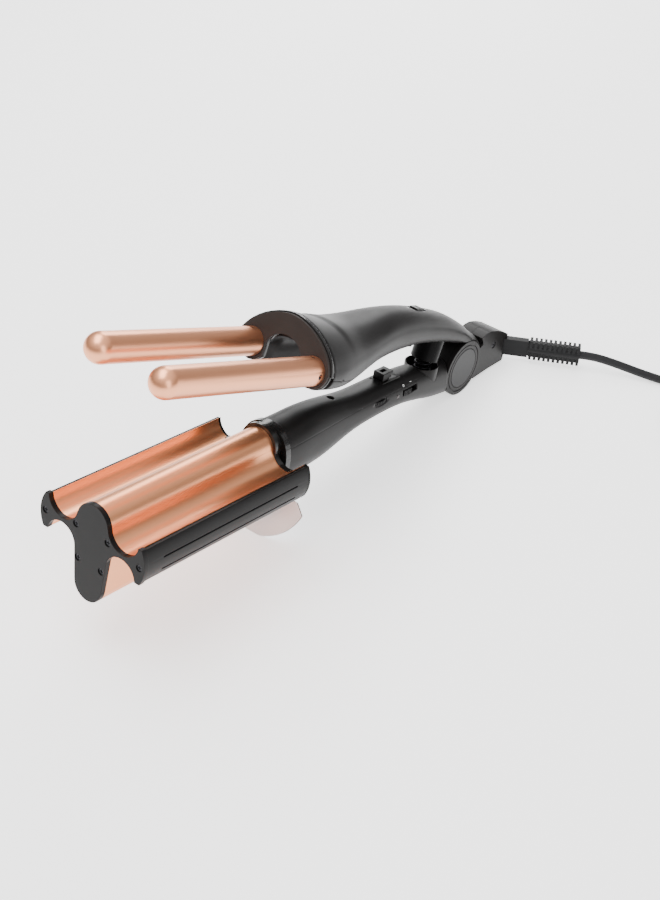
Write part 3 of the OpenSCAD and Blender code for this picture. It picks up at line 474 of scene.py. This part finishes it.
# %% Bench tools
@contextmanager
def editing(piece, edges=None):
    """Edit mode with all picked, or only the edges for which the given test holds."""
    only(piece)
    bpy.ops.object.mode_set(mode="EDIT")
    bpy.ops.mesh.select_mode(type="EDGE" if edges else "VERT")
    bpy.ops.mesh.select_all(action="DESELECT" if edges else "SELECT")
    bpy.ops.object.mode_set(mode="OBJECT")
    for edge in piece.data.edges if edges else ():
        edge.select = edges(edge)
    bpy.ops.object.mode_set(mode="EDIT")
    yield
    bpy.ops.object.mode_set(mode="OBJECT")


def modify(piece, kind, **settings):
    """Adds a modifier and applies it."""
    only(piece)
    modifier = piece.modifiers.new(kind.lower(), kind)
    for name, value in settings.items():
        setattr(modifier, name, value)
    bpy.ops.object.modifier_apply(modifier=modifier.name)


def carve(piece, tool, operation="DIFFERENCE"):
    """Cuts, joins or keeps the shared part with a tool solid, which is used up."""
    modify(piece, "BOOLEAN", operation=operation, solver="EXACT", object=tool)
    bpy.data.objects.remove(tool)


def bevel(piece, width, angle, clamp):
    """Rounds the edges whose faces meet at more than so many degrees."""
    modify(piece, "BEVEL", width=width, segments=2, limit_method="ANGLE",
           angle_limit=radians(angle), use_clamp_overlap=clamp)


def shade(piece, crease=32):
    """Smooth over shallow edges; the broad faces decide how a bevel catches the light."""
    only(piece)
    bpy.ops.object.shade_smooth_by_angle(angle=radians(crease))
    modify(piece, "WEIGHTED_NORMAL", keep_sharp=True, weight=80)


def settle(piece, node):
    """The piece stands for its node: same body, same finish."""
    paint(piece, finishes[slot_of[node]])
    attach(piece, body_of[node])
    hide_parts(node)
    print(piece.name, "-", len(piece.data.polygons), "faces")
    return piece


# %% [markdown]
# ## Softened edges
# No moulded or machined part has a knife edge: the small radius is what catches the light. The
# frame's exact parts are copied, their loose triangles merged back into faces, and every sharp
# edge gets a bevel of the size that its process leaves. Clamping would shrink the bevel of a whole
# part to what its shortest edge allows, so some parts go without it, with a width that fits them.
# The bead's arch is one large hollow outline and keeps its triangles, which hold the opening open.

# %% Soften a node
unclamped = ("near_side_rail", "far_side_rail", "rear_wing_caps", "front_end_cap",
             "near_hub_cheek", "far_hub_cheek", "stand_plate", "plug_body", "status_lamp",
             "head_bead")
unmerged = ("head_bead",)
touching = 0.001 * mm
flat_within = 0.4
sharp_from = 35


def softened(node, edge):
    piece = bpy.data.objects.new(node + "_soft", frame["nodes"][node].data.copy())
    bpy.context.scene.collection.objects.link(piece)
    with editing(piece):
        bpy.ops.mesh.remove_doubles(threshold=touching)
        if node not in unmerged:
            bpy.ops.mesh.dissolve_limited(angle_limit=radians(flat_within))
    bevel(piece, edge, sharp_from, clamp=node not in unclamped)
    shade(piece)
    return settle(piece, node)


edge_widths = {
    "lower_jaw": 0.35, "near_side_rail": 0.25, "far_side_rail": 0.25, "rear_wing_caps": 0.2,
    "front_end_cap": 0.18, "jaw_end_screws": 0.12, "jaw_collar": 0.8, "near_hub_cheek": 0.15,
    "far_hub_cheek": 0.15, "near_hub_disc": 0.3, "far_hub_disc": 0.3, "lower_screws": 0.1,
    "tail_screw": 0.1, "lock_slider": 0.35, "power_switch": 0.2, "temperature_wheel": 0.12,
    "status_lamp": 0.15, "stand_plate": 0.2, "stand_pin": 0.2, "stand_bracket": 0.15,
    "face_plate": 0.4, "head_bead": 0.45, "near_barrel": 0.15, "far_barrel": 0.15,
    "mode_switch": 0.3, "upper_screws": 0.1, "spring_cup": 0.5, "cord_boot": 0.35,
    "boot_pin": 0.2, "plug_body": 0.5, "plug_pins": 0.5, "control_board": 0.1,
    "switch_body": 0.2, "dial_body": 0.1, "barrel_mounts": 0.2, "cord_clamp": 0.3,
    "pivot_pin": 0.2, "pivot_washers": 0.1, "near_heater": 0.2, "far_heater": 0.2,
    "jaw_heater": 0.2, "heater_spreader": 0.2}
soft = {node: softened(node, width * mm) for node, width in edge_widths.items()}
print("softened:", len(soft), "pieces")

# %% [markdown]
# ### Ribs of the boot
# The soft ribs of the boot are a little fuller than its solid, so behind its plain root every
# corner is moved outwards.

# %% Fuller ribs on the boot
ribs_start = 24.3 * mm
rib_width, rib_height = 1.1, 1.12
to_boot = from_boot.inverted()
moved = 0
for corner in soft["cord_boot"].data.vertices:
    along = to_boot @ corner.co
    if along.x > ribs_start:
        along.z *= rib_height
        along.y *= rib_width
        corner.co = from_boot @ along
        moved += 1
print("boot:", moved, "corners moved outwards")

# %% [markdown]
# ### Two finishes of their own
# The stand is stamped from sheet, and its rim is painted darker than its broad faces, a painted
# shade
# on the thin edge: the rim's faces are those that do not look the way the broad side does, and they
# get a second material. The cup of the spring sits in the handle's shadow, and that shade is
# painted into its plastic, which is darker than the other glossy parts.

# %% Painted shade on the stand's rim
stand = soft["stand_plate"]
# the rim's darker metal is painted shade on the thin edge, not a finish of the steel
stand.data.materials.append(metal("rim_painted_shade", (0.16, 0.105, 0.085), 0.35))
broad_side = max(stand.data.polygons, key=lambda face: face.area).normal.copy()
alike = 0.9
for face in stand.data.polygons:
    face.material_index = int(abs(face.normal.dot(broad_side)) < alike)
print("rim:", sum(face.material_index for face in stand.data.polygons), "faces")

# %% Painted shade on the cup
# the cup's near-black colour is painted shade from the handle above it
cup_painted_shade = moulded("cup_painted_shade", (0.002, 0.002, 0.002), 0.26, 0.06, level=0.06)
paint(soft["spring_cup"], cup_painted_shade)
print("cup:", cup_painted_shade.name)

# %% [markdown]
# ## Smooth handles
# Both handles are ovals that swell and narrow along their length. A few measured stations (place
# along the handle, half-width, top, bottom, height of the widest place, and how full the upper and
# lower half are) give the shape, and smooth curves through them carry it from one to the next. The
# handles are made level and in millimetres, as drawn in the closed tool, and are tipped into place
# at the end. The channel is the room that the lower handle needs in the upper one.

# %% Stations of the handles
lower_stations = [
    (132, 15.5, 18.4, -18.1, 0.2, 2.3, 2.3), (145, 15, 18.7, -17.6, 0.6, 2.3, 2.3),
    (158, 14.2, 19.3, -17.1, 1.1, 2.3, 2.3), (170, 13.4, 18.8, -16.2, 1.3, 2.3, 2.3),
    (182, 12.6, 17.3, -13.4, 1.9, 2.3, 2.3), (194, 12, 15.4, -10, 2.7, 2.3, 2.3),
    (206, 11.6, 14.1, -7.8, 3.1, 2.3, 2.3), (220, 11.4, 13.8, -6.8, 3.5, 2.3, 2.3),
    (235, 11.4, 13.6, -6.4, 3.6, 2.3, 2.3), (250, 11.4, 12.8, -7.3, 2.8, 2.3, 2.3),
    (266, 11.2, 11.5, -10.2, 0.7, 2.3, 2.3), (282, 10.8, 9.9, -13.9, -2, 2.3, 2.3),
    (298, 10.2, 8.5, -16.3, -4, 2.3, 2.3), (311, 9.8, 7.5, -17.4, -5, 2.3, 2.3)]
upper_stations = [
    (127, 32.3, 36, -0.2, 12, 1.7, 2.6), (140, 31, 33.6, -2, 12.6, 1.85, 2.4),
    (152, 28.7, 31.9, -2.8, 13.4, 2.05, 2.3), (165, 25.5, 31.2, -0.4, 15.2, 2.2, 2.3),
    (178, 22.5, 31.9, 4, 17.8, 2.3, 2.3), (190, 19.8, 33.6, 7.3, 20.4, 2.3, 2.3),
    (202, 17.5, 35.7, 9.7, 22.7, 2.3, 2.3), (215, 15.6, 37.3, 12, 24.6, 2.3, 2.3),
    (230, 14.2, 38, 14.4, 26.2, 2.3, 2.3), (245, 13.2, 37.6, 16.2, 27, 2.3, 2.3),
    (262, 12.4, 36.3, 16.9, 26.6, 2.3, 2.3), (280, 11.5, 33.8, 16.5, 25.2, 2.3, 2.3),
    (300, 10.4, 28.4, 15.1, 22, 2.3, 2.3), (311, 9.9, 24.2, 13, 18, 2.3, 2.3),
    (320, 9.5, 21.4, 9, 14, 2.4, 2.3), (326, 9.4, 18.6, 7, 11, 2.5, 2.3),
    (331, 9.2, 14, 6, 8, 2.5, 2.3)]
channel_floor = -60
channel_stations = [(119, 16.5, 20.4, channel_floor, 3, 2.3, 2.6),
                    (133.5, 16.5, 20.4, channel_floor, 3, 2.3, 2.6),
                    (137, 15.2, 18.5, channel_floor, 3, 2.3, 2.6)]
channel_stations += [(*s[:3], channel_floor, s[4], 2.3, 2.6) for s in lower_stations[1:]]


def station_at(stations, x):
    """Half-width, top, bottom, widest height and fullness at x, on smooth curves."""
    x = min(max(x, stations[0][0]), stations[-1][0])
    i = sum(s[0] <= x for s in stations[1:-1])
    a, b = stations[i], stations[i + 1]
    before, after = stations[max(i - 1, 0)], stations[min(i + 2, len(stations) - 1)]
    span = b[0] - a[0]
    t = (x - a[0]) / span
    values = []
    for k in range(1, len(a)):
        leave = span * (b[k] - before[k]) / (b[0] - before[0])
        arrive = span * (after[k] - a[k]) / (after[0] - a[0])
        values.append(a[k] * (1 + 2 * t) * (1 - t) ** 2 + leave * t * (1 - t) ** 2
                      + b[k] * t * t * (3 - 2 * t) + arrive * t * t * (t - 1))
    return values


print("stations:", len(lower_stations), "and", len(upper_stations))

# %% Ovals along the handles
oval_sides = 64
brow_height = 0.95
brow_start, brow_rise = 150, 2.5
brow_top, brow_fall = 153, 24


def brow(x, rise):
    """The step where the head ends and the thumb's hollow starts, over the back only."""
    up = smooth((x - brow_start) / brow_rise)
    down = smooth((x - brow_top) / brow_fall)
    return brow_height * up * (1 - down) * max(0, rise) ** 3


def full(value, exponent):
    return abs(value) ** exponent * (1 if value > 0 else -1)


def apply_place(piece):
    only(piece)
    bpy.ops.object.transform_apply(location=True, rotation=True, scale=True)


def oval(stations, inset, start, end, drop=0, pitch=2.0, browed=False):
    """A cylinder cut into rings, each ring drawn to the oval of its station."""
    bpy.ops.mesh.primitive_cylinder_add(vertices=oval_sides, radius=1, depth=2,
                                        rotation=(0, pi / 2, 0))
    body = bpy.context.object
    apply_place(body)
    corners = body.data.vertices

    def lengthwise(edge):
        first, last = edge.vertices
        return abs(corners[first].co.x - corners[last].co.x) > 1

    with editing(body, edges=lengthwise):
        bpy.ops.mesh.subdivide(number_cuts=round((end - start) / pitch) - 1)
    for corner in body.data.vertices:
        x = start + (end - start) * (corner.co.x + 1) / 2
        half, top, bottom, middle, up_full, low_full = station_at(stations, x)
        turn = atan2(corner.co.z, corner.co.y) + pi / oval_sides
        rising = sin(turn) > 0
        power = 2 / (up_full if rising else low_full)
        height = (top - middle if rising else middle - bottom) - inset
        height += brow(x, sin(turn)) if browed else 0
        corner.co = Vector((x, full(cos(turn), power) * (half - inset),
                            middle - drop + full(sin(turn), power) * height)) * mm
    return body


print("ovals have", oval_sides, "sides")

# %% [markdown]
# ### Simple tools
# Boxes, round rods and squashed balls cut the openings. They are given by the ranges that they
# fill, in the same millimetres as the stations, and can be tipped about a point in the side view.

# %% Boxes, rods and dishes
round_sides, small_sides, tiny_sides = 128, 48, 32


def box(x, y, z):
    bpy.ops.mesh.primitive_cube_add(size=1)
    body = bpy.context.object
    body.location = [(a + b) / 2 * mm for a, b in (x, y, z)]
    body.scale = [(b - a) * mm for a, b in (x, y, z)]
    apply_place(body)
    return body


def rod(axis, middle, radius, low, high, sides=72):
    """A round rod along x, y or z; the middle gives the two other ordinates."""
    turn = {"x": (0, pi / 2, 0), "y": (pi / 2, 0, 0), "z": (0, 0, 0)}[axis]
    bpy.ops.mesh.primitive_cylinder_add(vertices=sides, radius=radius * mm,
                                        depth=(high - low) * mm, rotation=turn)
    body = bpy.context.object
    along = (low + high) / 2
    first, second = middle
    body.location = Vector({"x": (along, first, second), "y": (first, along, second),
                            "z": (first, second, along)}[axis]) * mm
    apply_place(body)
    return body


def dish(middle, reach):
    """A shallow rounded hollow is cut with a squashed ball."""
    bpy.ops.mesh.primitive_uv_sphere_add(segments=48, ring_count=24, radius=1)
    body = bpy.context.object
    body.location = [v * mm for v in middle]
    body.scale = [v * mm for v in reach]
    apply_place(body)
    return body


def tipped(body, angle, about):
    """Turns a body in the side view, nose down, about a point (x, z)."""
    hub = Matrix.Translation(Vector((about[0], 0, about[1])) * mm)
    body.data.transform(hub @ Matrix.Rotation(angle, 4, "Y") @ hub.inverted())
    return body


def shaped(piece, cuts=(), adds=()):
    for tool in adds:
        carve(piece, tool, "UNION")
    for tool in cuts:
        carve(piece, tool)
    return piece


print("rods have", tiny_sides, "to", round_sides, "sides")

# %% [markdown]
# ### Where the handles sit
# The lock slides along the lower handle and the small switch along the upper one, so the axes of
# these two joints say how each handle leans. Both are drawn with the hinge 313 mm from the origin,
# and from there they are laid on the frame's hinge.

# %% Places of the handles
joints = {row["name"]: row for row in frame["record"]["behaviour"]["joints"]}
pivot_drawn = 313
hinge = Vector(joints["jaw_hinge"]["pos_m"])
lie = [atan2(-joints[name]["axis"][2], joints[name]["axis"][0])
       for name in ("lock_slide", "mode_slide")]
lower_place, upper_place = [
    Matrix.Translation((hinge.x, 0, hinge.z)) @ Matrix.Rotation(angle, 4, "Y")
    @ Matrix.Translation((-pivot_drawn * mm, 0, 0)) for angle in lie]


def finished(piece, node, place, edge, close=0.02 * mm, sharp=38, crease=30):
    """Close points merged, tipped into place, edges rounded."""
    piece.name = node + "_smooth"
    with editing(piece):
        bpy.ops.mesh.remove_doubles(threshold=close)
    piece.data.transform(place)
    piece.data.update()
    bevel(piece, edge, sharp, clamp=False)
    only(piece)
    bpy.ops.object.shade_smooth_by_angle(angle=radians(crease))
    settle(piece, node)


print("handles lean", [round(angle, 3) for angle in lie], "rad")

# %% [markdown]
# ### Lower handle
# The outer shell has a slot for the power switch, one for the thumb wheel and a hole for the lamp;
# the cover on the inside has the spring's well and the seat of the lock. Each opening is made as a
# solid of its own first, under the name of what it is, and then all are cut in turn.

# %% Lower shell
wall, seam, hairline = 2.2, 0.15, 0.04
parting = 8.5
lower_start, lower_end = 132, 311
past = 2
cover_end = 288
across, near_side = (-30, 30), (-20, -6)
hub_middle, well_middle = (pivot_drawn, 0), (276.8, 0)
fine_edge = 0.08 * mm


def lower_oval(inset=0, beyond=0):
    return oval(lower_stations, inset, lower_start - beyond, lower_end + beyond)


cover_room = box((120, cover_end), across, (parting, 40))
hub_room = rod("y", hub_middle, 18.8, -40, 40, round_sides)
well_room = rod("z", well_middle, 10.65, -1.15, 20)
switch_slot = box((243, 258), near_side, (3.3, 7))
lamp_hole = rod("y", (238, 4.6), 1.4, -20, -7, tiny_sides)
wheel_slot = rod("z", (221, -2.2), 10.3, 5.4, 7.9)
carve(wheel_slot, box((200, 240), near_side, (0, 20)), "INTERSECT")
wheel_dish = dish((221, -12, 6.7), (9.5, 1.5, 2.9))
switch_dish = dish((250.5, -12, 5.2), (9.6, 1.3, 2.9))
lower_shell = shaped(lower_oval(), cuts=[
    lower_oval(wall, past), cover_room, hub_room, well_room, switch_slot, lamp_hole, wheel_slot,
    wheel_dish, switch_dish])
finished(lower_shell, "lower_shell", lower_place, fine_edge)

# %% Lower cover
lower_cover = shaped(lower_oval(), cuts=[lower_oval(wall, past)])
cover_side = box((120, cover_end - seam), across, (parting + hairline, 40))
carve(lower_cover, cover_side, "INTERSECT")
screw_middle = (184, 0)
screw_boss = rod("z", screw_middle, 3.6, parting + seam, 20, small_sides)
carve(screw_boss, lower_oval(inset=0.05), "INTERSECT")
screw_seat = rod("z", screw_middle, 2.4, 11.5, 30, small_sides)
screw_hole = rod("z", screw_middle, 1, 0, 20, tiny_sides)
well_wall = rod("z", well_middle, 10.6, -1, 10.9)
well = rod("z", well_middle, 9.9, 0.4, 30)
lock_bed = box((229, 246), (-5, 5), (10.5, 13.6))
lock_slot = box((231.5, 241.7), (-2.1, 2.1), (8, 20))
shaped(lower_cover, adds=[well_wall, screw_boss, lock_bed],
       cuts=[well, screw_seat, screw_hole, lock_slot])
finished(lower_cover, "lower_cover", lower_place, fine_edge)

# %% [markdown]
# ### Upper handle
# One oval makes the whole head and handle. The shell keeps its back and sides; the cover is the
# inside, arched so that the lower handle nests in it, and the two meet on a sloping line. Shell and
# cover share their cutters, each with a gap by which it gives way.

# %% Cutters of the upper handle
upper_start, upper_end = 127, 331
cut_start, room_end = upper_start - past, 280
parting_start, parting_height = 126, 10.8
parting_rise, parting_run = 8.791104, 94
arch_wall, arch_drop = 4.2, 8.3
play = 0.7


def below_parting(gap):
    """All that lies under the sloping line where shell and cover meet."""
    height = parting_height - gap
    wedge = box((parting_start, 222), (-45, 45), (-50, height))
    return tipped(wedge, atan2(parting_rise, parting_run), (parting_start, height))


def underside(gap, end=room_end):
    """The arch: the handle's own oval, smaller and lower."""
    return oval(upper_stations, arch_wall + gap, cut_start, end, drop=arch_drop)


def room(gap):
    """The hollow inside the wall."""
    return oval(upper_stations, wall + gap, cut_start, room_end)


def channel(gap):
    """Where the lower handle and its collar lie when the tool is closed."""
    collar_room = rod("x", (0, 8.4), 12.6 + gap, 120, 134)
    return shaped(oval(channel_stations, -play - gap, channel_stations[0][0], lower_end),
                  adds=[collar_room])


def corner_box(start, reach=90):
    """A quarter of space behind the pivot, from the start angle upwards."""
    corner = box((pivot_drawn, pivot_drawn + reach), across, (0, reach))
    return tipped(corner, -radians(start), hub_middle)


def cup_seat():
    return rod("z", (276, 0), 8.75, 0, 19.55)


print("upper handle:", upper_end - upper_start, "mm long")

# %% Upper shell
upper_edge = 0.25 * mm
beside_eye = [rod("y", hub_middle, 19.2, low, high, round_sides)
              for low, high in ((6.8, 30), (-30, -6.8))]
upper_shell = shaped(oval(upper_stations, 0, upper_start, upper_end, pitch=1.0, browed=True),
                     cuts=[room(0), underside(0), below_parting(0), *beside_eye,
                           corner_box(-78.5), corner_box(-48.5)])
eye = rod("y", hub_middle, 17.5, -6.6, 6.6, round_sides)
pin_hole = rod("y", hub_middle, 3.05, -30, 30)
switch_window = box((240, 254), (-3, 3), (30, 45))
shaped(upper_shell, adds=[eye], cuts=[cup_seat(), pin_hole, switch_window])
finished(upper_shell, "upper_shell", upper_place, upper_edge)

# %% Upper cover
lining = shaped(below_parting(seam), adds=[underside(seam, end=281.3), room(seam)])
screw_places = (206, 262)
screw_posts = [rod("z", (x, 0), 3.4, 10, 21.4, small_sides) for x in screw_places]
screw_wells = [rod("z", (x, 0), 2.2, 0, 19, small_sides) for x in screw_places]
catch_walls = box((225.4, 253.6), (-7, 7), (-1.6, 26))
catch_pocket = box((227, 252), (-5.4, 5.4), (0, 24.4))
channel_wall = channel(gap=1.8)
hollow = shaped(room(0), cuts=[channel_wall, catch_walls, *screw_posts])
upper_cover = oval(upper_stations, 0, upper_start, end=296)
carve(upper_cover, lining, "INTERSECT")
shaped(upper_cover, cuts=[hollow, channel(0), catch_pocket, cup_seat(), *screw_wells])
catch = box((247, 249.5), (-3.6, 3.6), (14.4, 25.2))
catch_lip = box((243.6, 247.5), (-3.6, 3.6), (14.4, 15.8))
shaped(upper_cover, adds=[catch, catch_lip])
finished(upper_cover, "upper_cover", upper_place, upper_edge)

# %% [markdown]
# ### Screws at the roots of the tubes
# Two small black grub screws hold each tube, sunk a little below its skin. A rod with a slot is one
# screw, and a slightly wider rod cuts its mouth in the tube; both are laid on the tube, for the
# second screw a quarter turn round it. The four screws become one piece.

# %% Tube screws
tube_radius, tube_aside, tube_height = 8, 21, 12.2
screw_x = 119
screw_radius, screw_foot, screw_top = 1.55, tube_radius - 3, tube_radius - 0.3
slot_reach, slot_half, slot_floor = 2, 0.3, tube_radius - 0.9
mouth_radius, mouth_floor, outside = 1.6, tube_radius - 0.7, tube_radius + 1
screws = []
for side, tube in ((-1, "near_barrel"), (1, "far_barrel")):
    for quarter in (0, 1):
        screw = rod("z", (screw_x, 0), screw_radius, screw_foot, screw_top, tiny_sides)
        slot = box((screw_x - slot_reach, screw_x + slot_reach), (-slot_half, slot_half),
                   (slot_floor, outside))
        carve(screw, slot)
        mouth = rod("z", (screw_x, 0), mouth_radius, mouth_floor, outside, tiny_sides)
        onto_tube = (Matrix.Translation(Vector((0, side * tube_aside, tube_height)) * mm)
                     @ Matrix.Rotation(-pi / 2 * quarter * side, 4, "X"))
        screw.data.transform(onto_tube)
        mouth.data.transform(upper_place @ onto_tube)
        carve(soft[tube], mouth)
        screws.append(screw)
only(screws[0])
for screw in screws:
    screw.select_set(True)
bpy.ops.object.join()
finished(screws[0], "barrel_screws", upper_place, 0.1 * mm)

# %% [markdown]
# ### Marks beside the switches
# Plain white signs are printed beside the switches: a ring for off and a bar for on. Each is a
# small solid whose foot is sunk in the shell and whose face stands a few hundredths above it. It is
# made lying flat and then turned to the slope of its place, which for the two on the handle's side
# is measured on the oval.

# %% Printed marks
sign_foot, sign_face = -0.25, 0.06
ring_outer, ring_inner, ring_sides = 0.75, 0.45, 40
bar_half, bar_thin = 0.7, 0.2
side_height = 9.4


def side_place(x, z, step=0.1):
    """Where the near side of the lower handle is at this height, and the way it slopes."""
    half, top, _, middle, fullness, _ = station_at(lower_stations, x)

    def depth(z):
        return -half * (1 - ((z - middle) / (top - middle)) ** fullness) ** (1 / fullness)

    slope = (depth(z + step) - depth(z - step)) / (2 * step)
    return Vector((x, depth(z), z)), atan2(1, slope)


def ring_sign():
    return shaped(rod("z", (0, 0), ring_outer, sign_foot, sign_face, ring_sides),
                  cuts=[rod("z", (0, 0), ring_inner, -1, 1, ring_sides)])


def bar_sign():
    return box((-bar_half, bar_half), (-bar_thin, bar_thin), (sign_foot, sign_face))


def printed(name, sign, position, slope, node, place):
    """Makes a sign and lays it on the handle that the node belongs to."""
    mark = sign()
    mark.name = name
    on_handle = Matrix.Translation(position * mm) @ Matrix.Rotation(slope, 4, "X")
    mark.data.transform(place @ on_handle)
    mark.data.update()
    shade(mark)
    paint(mark, print_white)
    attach(mark, body_of[node])


print_white = moulded("print_white", (0.75, 0.75, 0.74), 0.5, 0.1, spread=0.03)
side_signs = (("off_sign_power", ring_sign, 244.6), ("on_sign_power", bar_sign, 252.5))
top_signs = (("off_sign_mode", ring_sign, 236.5), ("on_sign_mode", bar_sign, 257))
for name, sign, x in side_signs:
    position, slope = side_place(x, side_height)
    printed(name, sign, position, slope, "lower_cover", lower_place)
for name, sign, x in top_signs:
    top = station_at(upper_stations, x)[1]
    printed(name, sign, Vector((x, 0, top)), 0, "upper_shell", upper_place)
print("signs:", len(side_signs) + len(top_signs))

# %% [markdown]
# ### Return spring
# A black coil spring stands in the well and pushes the handles apart. Its wire is a round line on a
# spiral, made a mesh. The cup above it comes down on an arc round the hinge.

# %% Return spring
curls, curl_points = 6, 16
curl_steps = curls * curl_points
wire = 1.15
spring_x, spring_half = 278.2, 5
spring_foot, spring_top = 0.4, 19.4
spring_path = []
for i in range(curl_steps + 1):
    turn = 2 * pi * i / curl_points
    climbed = (spring_top - spring_foot - wire) * i / curl_steps
    spring_path.append(lower_place @ (Vector((spring_x + spring_half * cos(turn),
                                              spring_half * sin(turn),
                                              spring_foot + wire / 2 + climbed)) * mm))
spring = settle(soft_line("return_coil", spring_path, wire * mm), "return_spring")
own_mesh(spring)
